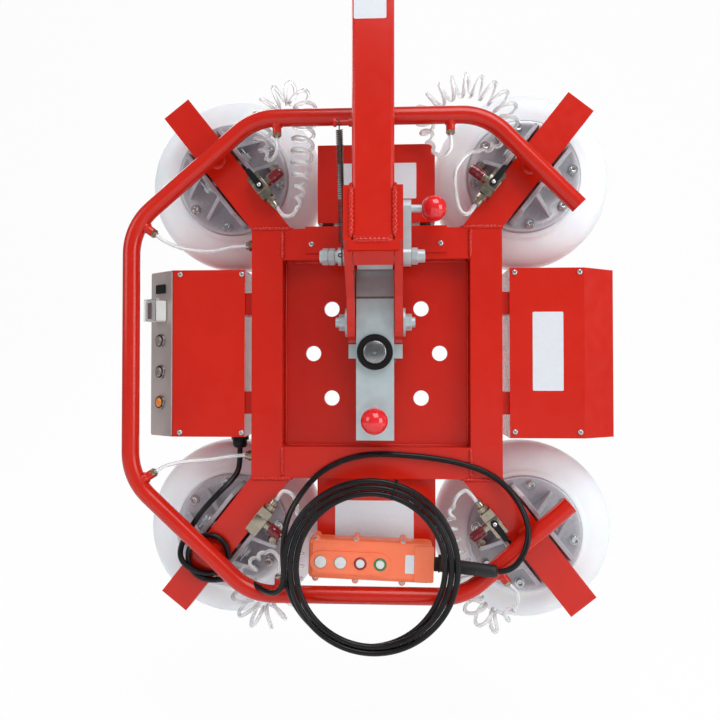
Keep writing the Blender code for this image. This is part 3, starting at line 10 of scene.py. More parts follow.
import bmesh
import bpy
import numpy as np
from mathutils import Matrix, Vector


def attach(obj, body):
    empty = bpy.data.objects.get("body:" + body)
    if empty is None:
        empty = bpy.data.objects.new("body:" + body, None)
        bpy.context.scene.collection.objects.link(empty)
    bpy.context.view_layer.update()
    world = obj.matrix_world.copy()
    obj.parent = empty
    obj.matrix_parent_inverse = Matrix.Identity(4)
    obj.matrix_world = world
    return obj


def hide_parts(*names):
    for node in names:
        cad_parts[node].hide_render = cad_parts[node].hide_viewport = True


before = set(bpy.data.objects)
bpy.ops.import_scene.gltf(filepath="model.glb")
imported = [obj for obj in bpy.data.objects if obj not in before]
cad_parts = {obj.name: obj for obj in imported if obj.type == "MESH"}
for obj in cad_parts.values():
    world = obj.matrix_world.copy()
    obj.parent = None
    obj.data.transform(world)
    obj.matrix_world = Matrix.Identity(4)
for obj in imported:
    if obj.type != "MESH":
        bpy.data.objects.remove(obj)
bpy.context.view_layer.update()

# The studio: a camera in front of the lifter at the height of its hub, a white sweep
# behind and below it, and large soft lamps that leave no hard shadow on the paint.
# The pieces below are placed from the hub, on the shaft that the frame turns on, with y
# counted from the front of the frame's tubes.
hub = np.array([0.0, 0.112, -0.648])
camera_place = Vector((0.0323, -1.0231, -0.6795))
camera_yaw = -0.05074
camera_pitch = 0.0179
frame_pixels = 720
focal_pixels = 712.5
sensor_millimetres = 36.0

camera = bpy.data.objects.new("camera", bpy.data.cameras.new("camera"))
bpy.context.scene.collection.objects.link(camera)
camera.data.sensor_width = sensor_millimetres
camera.data.lens = focal_pixels / frame_pixels * sensor_millimetres
camera.data.clip_start = 0.02
camera.data.clip_end = 40.0
looking = Vector((
    math.sin(camera_yaw) * math.cos(camera_pitch),
    math.cos(camera_yaw) * math.cos(camera_pitch),
    math.sin(camera_pitch),
))
camera.location = camera_place
camera.rotation_mode = "QUATERNION"
camera.rotation_quaternion = looking.to_track_quat("-Z", "Y")
bpy.context.scene.camera = camera
bpy.context.scene.view_settings.view_transform = "Standard"


def linear(code):
    """A colour written as an sRGB hex value, turned to linear light: c / 12.92 when
    dark, and ((c + 0.055) / 1.055) to the power 2.4 otherwise."""
    channels = np.array([int(code[k:k + 2], 16) for k in (1, 3, 5)]) / 255.0
    light = np.where(channels <= 0.04045, channels / 12.92, ((channels + 0.055) / 1.055) ** 2.4)
    return (float(light[0]), float(light[1]), float(light[2]), 1.0)


def add_node(tree, kind, values=(), links=()):
    """Adds one shader node. Values pairs a setting's or a socket's name with its value,
    and links pairs a socket's name with the output that feeds it."""
    node = tree.nodes.new(kind)
    for name, value in values:
        if isinstance(name, str) and hasattr(node, name):
            setattr(node, name, value)
        else:
            node.inputs[name].default_value = value
    for name, source in links:
        tree.links.new(source, node.inputs[name])
    return node


def new_material(name):
    """An empty material, its node tree and its output node."""
    material = bpy.data.materials.new(name)
    material.use_nodes = True
    material.node_tree.nodes.clear()
    output = material.node_tree.nodes.new("ShaderNodeOutputMaterial")
    return material, material.node_tree, output


# Seen straight, or through a clear piece, the paper is an even white. In the paint's
# reflections it is only as bright as the lamps make it, which keeps the red deep.
backdrop_white = "#FFFFFF"
sweep_grey = "#F4F4F4"
even_white = 0.94
sweep, sweep_tree, sweep_output = new_material("matt paper sweep")
paper = add_node(sweep_tree, "ShaderNodeBsdfDiffuse",
                 [("Color", linear(sweep_grey)), ("Roughness", 0.4)])
shine = add_node(sweep_tree, "ShaderNodeEmission",
                 [("Color", linear(backdrop_white)), ("Strength", 1.0)])
seen_by = add_node(sweep_tree, "ShaderNodeLightPath")
either = add_node(sweep_tree, "ShaderNodeMath", [("operation", "MAXIMUM")],
                  [(0, seen_by.outputs["Is Camera Ray"]), (1, seen_by.outputs["Is Transmission Ray"])])
white_share = add_node(sweep_tree, "ShaderNodeMath", [("operation", "MULTIPLY"), (1, even_white)],
                       [(0, either.outputs[0])])
paper_mix = add_node(sweep_tree, "ShaderNodeMixShader", [],
                     [(0, white_share.outputs[0]), (1, paper.outputs[0]), (2, shine.outputs[0])])
sweep_tree.links.new(paper_mix.outputs[0], sweep_output.inputs["Surface"])

sweep_half_width = 6.0
sweep_front = -6.0
sweep_wall = 2.6
sweep_floor = -1.36
sweep_top = 6.0
sweep_bend = 1.2
across = np.linspace(-sweep_half_width, sweep_half_width, 3)
turn = np.linspace(0.0, math.pi / 2, 13)
run_y = np.concatenate([[sweep_front], sweep_wall - sweep_bend + sweep_bend * np.sin(turn), [sweep_wall]])
run_z = np.concatenate([[sweep_floor], sweep_floor + sweep_bend - sweep_bend * np.cos(turn), [sweep_top]])


def grid_faces(rows, columns, wrap_rows=False, wrap_columns=False, first=0):
    """Four-cornered faces of a grid of points stored row after row. The face at row i
    and column j joins the points (i, j), (i, j+1), (i+1, j+1) and (i+1, j), and a
    wrapped side joins its last points to its first."""
    i, j = np.meshgrid(np.arange(rows if wrap_rows else rows - 1),
                       np.arange(columns if wrap_columns else columns - 1), indexing="ij")
    i, j = i.ravel(), j.ravel()
    below, right = (i + 1) % rows, (j + 1) % columns
    return first + np.column_stack([i * columns + j, i * columns + right, below * columns + right,
                                    below * columns + j])


def fill_mesh(name, points, faces, smooth_degrees=35.0):
    """A mesh object at the origin from arrays of points and four-cornered faces. Corners
    turned by more than smooth_degrees stay sharp."""
    mesh = bpy.data.meshes.new(name)
    mesh.from_pydata(points.tolist(), [], faces.tolist())
    mesh.update()
    mesh.shade_smooth()
    mesh.set_sharp_from_angle(angle=math.radians(smooth_degrees))
    made = bpy.data.objects.new(name, mesh)
    bpy.context.scene.collection.objects.link(made)
    return made


sweep_points = np.stack([
    np.broadcast_to(across[None, :], (len(run_y), len(across))),
    np.broadcast_to(run_y[:, None], (len(run_y), len(across))),
    np.broadcast_to(run_z[:, None], (len(run_y), len(across))),
], axis=-1).reshape(-1, 3)
backdrop = fill_mesh("backdrop", sweep_points, grid_faces(len(run_y), len(across)), 180.0)
backdrop.data.materials.append(sweep)

# The room round the sweep is white to the eye too, and dimmer as a light and in gloss.
sky_tint = "#F2F4F8"
fill_on_paint = 0.40
fill_in_gloss = 0.24
sky = bpy.data.worlds.new("pale studio")
sky.use_nodes = True
bpy.context.scene.world = sky
sky_tree = sky.node_tree
sky_tree.nodes.clear()
sky_path = add_node(sky_tree, "ShaderNodeLightPath")
sky_straight = add_node(sky_tree, "ShaderNodeMath", [("operation", "MAXIMUM")],
                        [(0, sky_path.outputs["Is Camera Ray"]),
                         (1, sky_path.outputs["Is Transmission Ray"])])
fill_strength = add_node(sky_tree, "ShaderNodeMapRange",
                         [("To Min", fill_on_paint), ("To Max", fill_in_gloss)],
                         [("Value", sky_path.outputs["Is Glossy Ray"])])
fill_light = add_node(sky_tree, "ShaderNodeBackground", [("Color", linear(sky_tint))],
                      [("Strength", fill_strength.outputs[0])])
seen_white = add_node(sky_tree, "ShaderNodeBackground",
                      [("Color", linear(backdrop_white)), ("Strength", 1.0)])
sky_mix = add_node(sky_tree, "ShaderNodeMixShader", [],
                   [(0, sky_straight.outputs[0]), (1, fill_light.outputs[0]),
                    (2, seen_white.outputs[0])])
add_node(sky_tree, "ShaderNodeOutputWorld", [], [("Surface", sky_mix.outputs[0])])

# Each lamp's place, the side of its square and its power in watts. The low lamp only
# lifts the shadows under the boxes, so it is kept out of reflections.
lamp_places = {
    "key lamp": ((0.7, -1.7, 2.0), 2.2, 62.0),
    "side lamp": ((2.3, -1.3, -0.3), 1.4, 24.0),
    "left lamp": ((-2.4, -1.4, 0.2), 1.4, 15.0),
    "low lamp": ((0.2, -2.2, -1.2), 1.2, 6.0),
    "back lamp": ((-0.9, 1.7, 0.9), 1.6, 18.0),
}
for lamp_name, (place, size, power) in lamp_places.items():
    softbox = bpy.data.lights.new(lamp_name, "AREA")
    softbox.shape = "SQUARE"
    softbox.size = size
    softbox.energy = power
    lamp = bpy.data.objects.new(lamp_name, softbox)
    lamp.location = place
    lamp.rotation_euler = (Vector(hub.tolist()) - Vector(place)).to_track_quat("-Z", "Y").to_euler()
    lamp.visible_glossy = lamp_name != "low lamp"
    bpy.context.scene.collection.objects.link(lamp)


def smooth_path(points, spacing):
    """Even points on the smooth curve through a route. Between neighbours a and b, with
    p before and q after them, the place at t from 0 to 1 is half of
    2a + (b - p) t + (2p - 5a + 4b - q) t^2 + (3a - p - 3b + q) t^3."""
    steps_between = 32
    rows = np.asarray(points, float)
    ends = np.vstack([2 * rows[:1] - rows[1:2], rows, 2 * rows[-1:] - rows[-2:-1]])
    t = np.linspace(0.0, 1.0, steps_between, endpoint=False)[None, :, None]
    p, a, b, q = (ends[k:len(ends) - 3 + k, None, :] for k in range(4))
    fine = 0.5 * (2 * a + (b - p) * t + (2 * p - 5 * a + 4 * b - q) * t ** 2
                  + (3 * a - p - 3 * b + q) * t ** 3)
    fine = np.vstack([fine.reshape(-1, rows.shape[1]), rows[-1:]])
    walked = np.concatenate([[0.0], np.cumsum(np.linalg.norm(np.diff(fine[:, :3], axis=0), axis=1))])
    even = np.linspace(0.0, walked[-1], max(4, round(walked[-1] / spacing)) + 1)
    return np.column_stack([np.interp(even, walked, fine[:, k]) for k in range(rows.shape[1])])


def round_cord(name, path, diameter, material, body="frame"):
    """A cord as a curve of one open line of straight steps with a round section."""
    line = bpy.data.curves.new(name, "CURVE")
    line.dimensions = "3D"
    spline = line.splines.new("POLY")
    spline.points.add(len(path) - 1)
    places = np.column_stack([path, np.ones(len(path))])
    spline.points.foreach_set("co", places.astype(np.float32).ravel())
    line.bevel_depth = diameter / 2
    line.bevel_resolution = 4
    line.use_fill_caps = True
    line.materials.append(material)
    made = bpy.data.objects.new(name, line)
    bpy.context.scene.collection.objects.link(made)
    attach(made, body)
    return made


# The pendant's cable: one length of black PVC cable, about 9 mm thick. It leaves the
# pendant's boot, swings up over the bottom rail, is wound into a round coil in front of
# the pendant, loops round the lower left post and goes up into the control box's gland.
cable_pvc, tree, output = new_material("extruded black PVC")
# Extruded PVC is smooth and dark, with a faint waviness along it and dusty rubs.
rub_cell = 0.016667
cable_black = "#0D0C0F"
spot = add_node(tree, "ShaderNodeTexCoord")
rub = add_node(tree, "ShaderNodeTexNoise", [("Scale", 1 / rub_cell), ("Detail", 4.0)],
               [("Vector", spot.outputs["Object"])])
rub_shade = add_node(tree, "ShaderNodeMapRange",
                     [("From Min", 0.35), ("From Max", 0.75), ("To Min", 0.26), ("To Max", 0.44)],
                     [("Value", rub.outputs["Fac"])])
rub_bump = add_node(tree, "ShaderNodeBump", [("Strength", 0.15), ("Distance", 0.0003)],
                    [("Height", rub.outputs["Fac"])])
shader = add_node(tree, "ShaderNodeBsdfPrincipled",
                  [("Base Color", linear(cable_black)), ("IOR", 1.53), ("Specular IOR Level", 0.30)],
                  [("Roughness", rub_shade.outputs[0]), ("Normal", rub_bump.outputs[0])])
tree.links.new(shader.outputs[0], output.inputs["Surface"])

cable_diameter = 0.009
from_boot = [
    (0.1848, -0.0510, -0.3302), (0.1928, -0.0533, -0.3305), (0.2090, -0.0535, -0.3240),
    (0.2225, -0.0510, -0.3050), (0.2320, -0.0460, -0.2790), (0.2290, -0.0320, -0.2490),
    (0.2110, -0.0140, -0.2170), (0.1820, -0.0070, -0.1920), (0.1440, -0.0049, -0.1770),
    (0.0970, -0.0049, -0.1670), (0.0350, -0.0049, -0.1610), (-0.0120, -0.0049, -0.1610),
    (-0.0510, -0.0052, -0.1700), (-0.0890, -0.0100, -0.1900), (-0.1180, -0.0185, -0.2230),
    (-0.1355, -0.0420, -0.2560), (-0.1386, -0.0590, -0.2920),
]
# The coil is three turns. Angles are in degrees round its centre, and the cable's reach
# and depth are given at a few of them and run evenly between.
coil_centre = (-0.004, -0.322)
degrees_apart = 10.0
coil_angle = np.arange(178.0, 1270.0, degrees_apart)
coil_reach = np.interp(coil_angle, [178, 330, 350, 1269], [0.1345, 0.1100, 0.1090, 0.1325])
coil_depth = np.interp(coil_angle, [178, 320, 365, 1269], [-0.0635, -0.0635, -0.0730, -0.0730])
coil_turns = np.column_stack([
    coil_centre[0] + coil_reach * np.cos(np.radians(coil_angle)),
    coil_depth,
    coil_centre[1] + coil_reach * np.sin(np.radians(coil_angle)),
])
to_loops = [
    (-0.1385, -0.0722, -0.3560), (-0.1480, -0.0672, -0.3640), (-0.1630, -0.0545, -0.3660),
    (-0.1800, -0.0380, -0.3630), (-0.1960, -0.0225, -0.3590), (-0.2120, -0.0115, -0.3580),
    (-0.2290, -0.0070, -0.3600),
]
loop_centre = (-0.2650, -0.3230)
loop_angle = np.arange(-52.0, -592.0, -degrees_apart)
loop_reach = np.interp(-loop_angle, [52, 90, 380, 495, 540, 592],
                       [0.0430, 0.0400, 0.0310, 0.0300, 0.0487, 0.0500])
loop_depth = np.interp(-loop_angle, [52, 470, 498, 535, 560, 592],
                       [-0.0062, -0.0062, -0.0158, -0.0158, -0.0068, -0.0068])
loop_turns = np.column_stack([
    loop_centre[0] + loop_reach * np.cos(np.radians(loop_angle)),
    loop_depth,
    loop_centre[1] + loop_reach * np.sin(np.radians(loop_angle)),
])
to_gland = [
    (-0.2865, -0.0062, -0.2640), (-0.2700, -0.0020, -0.2430), (-0.2430, 0.0120, -0.2140),
    (-0.2280, 0.0330, -0.1960), (-0.2280, 0.0440, -0.1780), (-0.2280, 0.0450, -0.1556),
]
cable_step = 0.005
cable_route = np.vstack([from_boot, coil_turns, to_loops, loop_turns, to_gland])
cable_line = smooth_path(cable_route, cable_step)
# A cable this stiff rounds off its bends, so each point moves a few times to the mean of
# itself and its neighbours.
easing_rounds = 12
for _ in range(easing_rounds):
    cable_line[1:-1] = (cable_line[:-2] + 2 * cable_line[1:-1] + cable_line[2:]) / 4
cable_path = cable_line + hub
cable = round_cord("pendant_cable", cable_path, cable_diameter, cable_pvc)
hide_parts("cable_from_boot", "cable_to_loops", "cable_to_gland", "cable_coil", "cable_loops")

# The air hoses: clear polyurethane tube, heat set into springy curls where a pad has to
# move, and left straight on the handrail's left side. Each end is pushed into a fitting.
clear_tube, tree, output = new_material("clear polyurethane tube")
# Clear tube takes on what lies behind it and shows as bright edges and milky streaks.
milk_cell = 0.025
tube_white = "#F7F9FA"
spot = add_node(tree, "ShaderNodeTexCoord")
milk = add_node(tree, "ShaderNodeTexNoise", [("Scale", 1 / milk_cell), ("Detail", 2.0)],
                [("Vector", spot.outputs["Object"])])
milk_share = add_node(tree, "ShaderNodeMapRange",
                      [("From Min", 0.3), ("From Max", 0.7), ("To Min", 0.42), ("To Max", 0.66)],
                      [("Value", milk.outputs["Fac"])])
shader = add_node(tree, "ShaderNodeBsdfPrincipled",
                  [("Base Color", linear(tube_white)), ("Roughness", 0.10), ("IOR", 1.50)],
                  [("Transmission Weight", milk_share.outputs[0])])
tree.links.new(shader.outputs[0], output.inputs["Surface"])

# A route's points are x, y, z and how wide the curl is there: plain_end where the tube
# is straight, and 1 where it is wound to its full reach.
curl_reach = 0.0168
curl_pitch = 0.020
curl_step = 0.0006
plain_end = 0.3
curly_diameter = 0.0062
curly_routes = {
    "hose_ul": [
        (-0.1550, -0.0270, 0.3397, 0.3), (-0.1550, -0.0260, 0.3180, 0.3), (-0.1700, -0.0080, 0.3080, 0.3),
        (-0.1840, 0.0080, 0.3340, 0.6), (-0.1860, 0.0120, 0.3720, 1.0), (-0.1720, 0.0120, 0.4120, 1.0),
        (-0.1400, 0.0120, 0.4250, 1.0), (-0.1160, 0.0120, 0.4000, 1.0), (-0.1180, 0.0080, 0.3520, 1.0),
        (-0.1200, 0.0000, 0.3000, 0.9), (-0.1220, -0.0060, 0.2500, 0.5), (-0.1300, -0.0110, 0.2220, 0.3),
        (-0.1462, -0.0120, 0.2190, 0.3), (-0.1576, -0.0120, 0.2334, 0.3),
    ],
    "hose_ur": [
        (0.1170, -0.0270, 0.3397, 0.3), (0.1170, -0.0260, 0.3180, 0.3), (0.1020, -0.0120, 0.3080, 0.3),
        (0.0860, -0.0050, 0.3350, 0.5), (0.0800, 0.0120, 0.3850, 1.0), (0.1000, 0.0120, 0.4150, 1.0),
        (0.1450, 0.0120, 0.4320, 1.0), (0.1900, 0.0120, 0.4150, 1.0), (0.2120, 0.0120, 0.3800, 1.0),
        (0.2030, 0.0100, 0.3450, 0.6), (0.1780, -0.0020, 0.3230, 0.4), (0.1480, -0.0080, 0.3160, 0.3),
        (0.1270, -0.0110, 0.2880, 0.3), (0.1270, -0.0120, 0.2480, 0.3), (0.1340, -0.0120, 0.2230, 0.3),
        (0.1462, -0.0120, 0.2190, 0.3), (0.1576, -0.0120, 0.2334, 0.3),
    ],
    "hose_ll": [
        (-0.1500, -0.0270, -0.3457, 0.3), (-0.1500, -0.0260, -0.3240, 0.3), (-0.1660, -0.0100, -0.3140, 0.3),
        (-0.1920, 0.0050, -0.3300, 0.5), (-0.2120, 0.0120, -0.3700, 1.0), (-0.2120, 0.0120, -0.4050, 1.0),
        (-0.1820, 0.0120, -0.4270, 1.0), (-0.1500, 0.0120, -0.4050, 1.0), (-0.1360, 0.0120, -0.3600, 1.0),
        (-0.1260, 0.0100, -0.3100, 0.6), (-0.1240, -0.0020, -0.2620, 0.4), (-0.1300, -0.0100, -0.2280, 0.3),
        (-0.1462, -0.0120, -0.2190, 0.3), (-0.1576, -0.0120, -0.2334, 0.3),
    ],
    "hose_lr": [
        (0.2046, -0.0270, -0.3553, 0.3), (0.2178, -0.0262, -0.3704, 0.3), (0.2180, -0.0120, -0.3920, 0.3),
        (0.2060, 0.0040, -0.4120, 0.6), (0.1860, 0.0120, -0.4250, 1.0), (0.1580, 0.0120, -0.4050, 1.0),
        (0.1460, 0.0120, -0.3620, 1.0), (0.1260, 0.0100, -0.3180, 0.9), (0.1180, 0.0000, -0.2700, 0.6),
        (0.1240, -0.0090, -0.2320, 0.3), (0.1380, -0.0120, -0.2160, 0.3), (0.1480, -0.0120, -0.2210, 0.3),
        (0.1576, -0.0120, -0.2334, 0.3),
    ],
}


def curl_round(route, reach, pitch):
    """A curl round a route: centre(s) + r(s) (side cos a + up sin a), where s is the way
    along it, a grows by one turn in each pitch, and r goes from nothing at the plain
    ends to the full reach where the route's fourth value is 1."""
    line = smooth_path(route, curl_step)
    centre = line[:, :3]
    radius = reach * np.clip((line[:, 3] - plain_end) / (1 - plain_end), 0.0, 1.0)
    tangent = np.gradient(centre, axis=0)
    tangent /= np.linalg.norm(tangent, axis=1, keepdims=True)
    side = np.cross(tangent, [0.0, 1.0, 0.0])
    side /= np.linalg.norm(side, axis=1, keepdims=True)
    up = np.cross(side, tangent)
    walked = np.concatenate([[0.0], np.cumsum(np.linalg.norm(np.diff(centre, axis=0), axis=1))])
    angle = 2 * math.pi * walked / pitch
    ring = side * np.cos(angle)[:, None] + up * np.sin(angle)[:, None]
    return centre + ring * radius[:, None]


for name, route in curly_routes.items():
    curl = curl_round(route, curl_reach, curl_pitch) + hub
    hose = round_cord("curly_" + name, curl, curly_diameter, clear_tube)
    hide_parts(name)

plain_diameter = 0.006
plain_step = 0.004
plain_routes = {
    "hose_left_upper": [
        (-0.3478, -0.0270, 0.1868), (-0.3320, -0.0250, 0.1760), (-0.3060, -0.0120, 0.1670),
        (-0.2700, 0.0080, 0.1660), (-0.2380, 0.0180, 0.1740), (-0.2126, 0.0200, 0.1765),
    ],
    "hose_left_lower": [
        (-0.3463, -0.0270, -0.1871), (-0.3300, -0.0250, -0.1780), (-0.3040, -0.0120, -0.1730),
        (-0.2700, 0.0080, -0.1720), (-0.2380, 0.0180, -0.1680), (-0.2126, 0.0200, -0.1660),
    ],
}
for name, route in plain_routes.items():
    line = smooth_path(route, plain_step) + hub
    hose = round_cord("clear_" + name, line, plain_diameter, clear_tube)
    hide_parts(name)

# The welded red steelwork: square and round tube, bent plate and boxes, all powder
# coated in one glossy red. Powder coat flows out to a skin with a faint orange peel,
# drifts a little in tone over a hand's width, and is dulled in patches by handling.
powder_red, tree, output = new_material("glossy red powder coat")
peel_cell = 0.0028
drift_cell = 0.11111
smear_cell = 0.018182
deep_red = "#BC1808"
bright_red = "#CC220F"
spot = add_node(tree, "ShaderNodeTexCoord")
peel = add_node(tree, "ShaderNodeTexNoise", [("Scale", 1 / peel_cell), ("Detail", 2.0), ("Roughness", 0.45)],
                [("Vector", spot.outputs["Object"])])
drift = add_node(tree, "ShaderNodeTexNoise", [("Scale", 1 / drift_cell), ("Detail", 3.0)],
                 [("Vector", spot.outputs["Object"])])
smear = add_node(tree, "ShaderNodeTexNoise", [("Scale", 1 / smear_cell), ("Detail", 5.0)],
                 [("Vector", spot.outputs["Object"])])
red_tone = add_node(tree, "ShaderNodeMix",
                    [("data_type", "RGBA"), (6, linear(deep_red)), (7, linear(bright_red))],
                    [(0, drift.outputs["Fac"])])
peel_bump = add_node(tree, "ShaderNodeBump", [("Strength", 0.08), ("Distance", 0.00025)],
                     [("Height", peel.outputs["Fac"])])
gloss = add_node(tree, "ShaderNodeMapRange",
                 [("From Min", 0.3), ("From Max", 0.7), ("To Min", 0.17), ("To Max", 0.27)],
                 [("Value", smear.outputs["Fac"])])
shader = add_node(tree, "ShaderNodeBsdfPrincipled", [("IOR", 1.5), ("Specular IOR Level", 0.45)],
                  [("Base Color", red_tone.outputs[2]), ("Roughness", gloss.outputs[0]),
                   ("Normal", peel_bump.outputs[0])])
tree.links.new(shader.outputs[0], output.inputs["Surface"])


def dress(material, *names):
    """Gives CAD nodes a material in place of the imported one."""
    for name in names:
        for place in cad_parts[name].material_slots:
            place.material = material


dress(powder_red, "mast_tube", "lifting_lug", "mast_fork", "frame_rails", "index_plate", "control_box",
      "pump_box", "top_box", "bottom_box", "top_bracket")

# The directions that pieces are turned round and swept along.
sideways = (1.0, 0.0, 0.0)
facing = (0.0, 1.0, 0.0)
upright = (0.0, 0.0, 1.0)


def turned_grid(profile, centre, axis, steps=40, corners=0):
    """A profile of (along, radius) pairs carried round an axis: the point at angle a is
    centre + axis along + radius (u cos a + v sin a). With corners given the section is a
    polygon: the radius is divided by cos(a') where a' runs from -pi/corners to
    pi/corners on each flat, and corners are cut off past the widest radius times
    corner_cut, as on a chamfered nut."""
    corner_cut = 1.12
    axis = np.asarray(axis, float) / np.linalg.norm(axis)
    guide = np.array([0.0, 0.0, 1.0]) if abs(axis[2]) < 0.9 else np.array([1.0, 0.0, 0.0])
    u = np.cross(axis, guide)
    u /= np.linalg.norm(u)
    v = np.cross(axis, u)
    angle = np.linspace(0.0, 2 * math.pi, steps, endpoint=False)
    along, radius = np.asarray(profile, float).T
    reach = np.broadcast_to(radius[:, None], (len(radius), steps)).copy()
    if corners:
        flat = np.mod(angle + math.pi / corners, 2 * math.pi / corners) - math.pi / corners
        reach = np.minimum(reach / np.cos(flat)[None, :], np.maximum(reach, reach.max() * corner_cut))
    ring = u[None, None, :] * np.cos(angle)[None, :, None] + v[None, None, :] * np.sin(angle)[None, :, None]
    points = np.asarray(centre, float) + axis * along[:, None, None] + ring * reach[:, :, None]
    return points, False, True


def swept_grid(path, radius, guide=facing, sides=16, closed=False):
    """A round section carried along a path: p + r (n cos a + b sin a), with b across the
    tangent and the guide and n across b. The radius may change along the path, and an
    open path is closed by a point at each end."""
    path = np.asarray(path, float)
    radius = np.broadcast_to(np.asarray(radius, float), (len(path),)).copy()
    if not closed:
        path = np.vstack([path[:1], path, path[-1:]])
        radius = np.concatenate([[0.0], radius, [0.0]])
    tangent = np.gradient(path, axis=0) if not closed else np.roll(path, -1, 0) - np.roll(path, 1, 0)
    if not closed:
        tangent[0], tangent[-1] = tangent[1], tangent[-2]
    tangent /= np.linalg.norm(tangent, axis=1, keepdims=True)
    b = np.cross(tangent, guide)
    b /= np.linalg.norm(b, axis=1, keepdims=True)
    n = np.cross(b, tangent)
    angle = np.linspace(0.0, 2 * math.pi, sides, endpoint=False)[None, :, None]
    ring = n[:, None, :] * np.cos(angle) + b[:, None, :] * np.sin(angle)
    return path[:, None, :] + ring * radius[:, None, None], closed, True


def corner_turn(steps):
    """A full turn in four quarters that each keep both their ends: the angles, and for
    each angle the signs of the corner that its quarter rounds."""
    quarter = np.linspace(0.0, math.pi / 2, steps + 1)
    angle = np.concatenate([quarter + k * math.pi / 2 for k in range(4)])
    sign = np.array([(1, 1), (-1, 1), (-1, -1), (1, -1)]).repeat(steps + 1, axis=0)
    return angle, sign


def slab_grid(low, high, edge=0.0008, steps=3):
    """A box with rounded edges as one closed skin: the point in direction d is the
    clamped box point c + half sign(d) grown by edge d / |d|, for d over a fine sphere
    whose rings are gathered at the box's corners."""
    low, high = np.asarray(low, float), np.asarray(high, float)
    middle, half = (low + high) / 2, (high - low) / 2 - edge
    quarter = np.linspace(0.0, math.pi / 2, steps + 1)
    round_angle, round_sign = corner_turn(steps)
    rise = np.concatenate([-math.pi / 2 + quarter, quarter])
    rise_sign = np.array([-1, 1]).repeat(steps + 1)
    ring = np.column_stack([np.cos(round_angle), np.sin(round_angle)])
    flat = np.cos(rise)[:, None, None] * ring[None] * edge + (round_sign * half[:2])[None]
    tall = np.broadcast_to((np.sin(rise) * edge + rise_sign * half[2])[:, None], flat.shape[:2])
    points = np.concatenate([flat, tall[..., None]], axis=-1)
    pole = np.zeros((1, points.shape[1], 3))
    low_pole, high_pole = pole.copy(), pole.copy()
    low_pole[..., 2], high_pole[..., 2] = -half[2] - edge, half[2] + edge
    return middle + np.concatenate([low_pole, points, high_pole]), False, True


def make_piece(name, grids, material, body="frame", degrees=35.0, stands_for=()):
    """One mesh from several grids of points. Coincident points are merged, which closes
    seams and poles, and the faces are turned outwards."""
    same_place = 2e-6
    points, faces, count = [], [], 0
    for grid, wrap_rows, wrap_columns in grids:
        rows, columns = grid.shape[:2]
        faces.append(grid_faces(rows, columns, wrap_rows, wrap_columns, count))
        points.append(grid.reshape(-1, 3))
        count += rows * columns
    made = fill_mesh(name, np.vstack(points) + hub, np.vstack(faces), degrees)
    shell = bmesh.new()
    shell.from_mesh(made.data)
    bmesh.ops.remove_doubles(shell, verts=shell.verts, dist=same_place)
    bmesh.ops.recalc_face_normals(shell, faces=shell.faces)
    shell.to_mesh(made.data)
    shell.free()
    made.data.shade_smooth()
    made.data.set_sharp_from_angle(angle=math.radians(degrees))
    made.data.materials.append(material)
    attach(made, body)
    if stands_for:
        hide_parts(*stands_for)
    return made


# Weld beads: MIG runs of overlapping ripples, coated over in the same red and half sunk
# in the steel, so they show 3 to 9 mm wide. They run where the mast meets the fork and
# the lug, along the arms' feet and down the joints of the frame's rails.


def weld_run(start, end, radius=0.0028, guide=facing, ripple_length=0.0022, hollow=0.14):
    """A weld bead between two points: a round section of radius
    r (1 - h + h |sin(pi s / ripple)|) at the distance s along it, h being its hollows,
    drawn in towards both tips."""
    tip_share = 0.45
    bead_sides = 10
    start, end = np.asarray(start, float), np.asarray(end, float)
    reach = np.linalg.norm(end - start)
    share = np.linspace(0.0, 1.0, max(8, int(reach / ripple_length * 4)))
    ripple = 1 - hollow + hollow * np.abs(np.sin(math.pi * share * reach / ripple_length))
    taper = np.clip(np.minimum(share, 1 - share) * reach / radius, tip_share, 1.0)
    return swept_grid(start + (end - start) * share[:, None], radius * ripple * taper, guide, bead_sides)


mast_half = 0.030
mast_front = -0.142
mast_back = -0.082
mast_foot = 0.155
cheek_top = 0.232
stout_bead = 0.0046
stout_ripple = 0.0065
cheek_bead = 0.0034
back_bead = 0.0016
cap_bead = 0.0024
mast_welds = []
for side in (-1, 1):
    x = side * (mast_half + 0.0008)
    y = mast_front + 0.0002
    mast_welds.append(weld_run((x, y, mast_foot + 0.004), (x, y, cheek_top), stout_bead,
                               ripple_length=stout_ripple, hollow=0.30))
    z = cheek_top + 0.0010
    mast_welds.append(weld_run((x, mast_front, z), (x, mast_back, z), cheek_bead, sideways))
    y = mast_back - 0.0004
    mast_welds.append(weld_run((x, y, cheek_top - 0.030), (x, y, cheek_top), back_bead))
x = mast_half - 0.002
y = mast_front + 0.0016
z = mast_foot - 0.0004
mast_welds.append(weld_run((-x, y, z), (x, y, z), stout_bead, ripple_length=stout_ripple, hollow=0.20))
lug_foot = 0.598
lug_faces = (-0.1186, -0.1054)
x = mast_half - 0.003
z = lug_foot + 0.0012
for y in lug_faces:
    mast_welds.append(weld_run((-x, y, z), (x, y, z)))
x = mast_half - 0.004
z = lug_foot - 0.0085
for y in (mast_front + 0.002, mast_back - 0.002):
    mast_welds.append(weld_run((-x, y, z), (x, y, z), cap_bead))
make_piece("mast_weld_beads", mast_welds, powder_red, "mast")

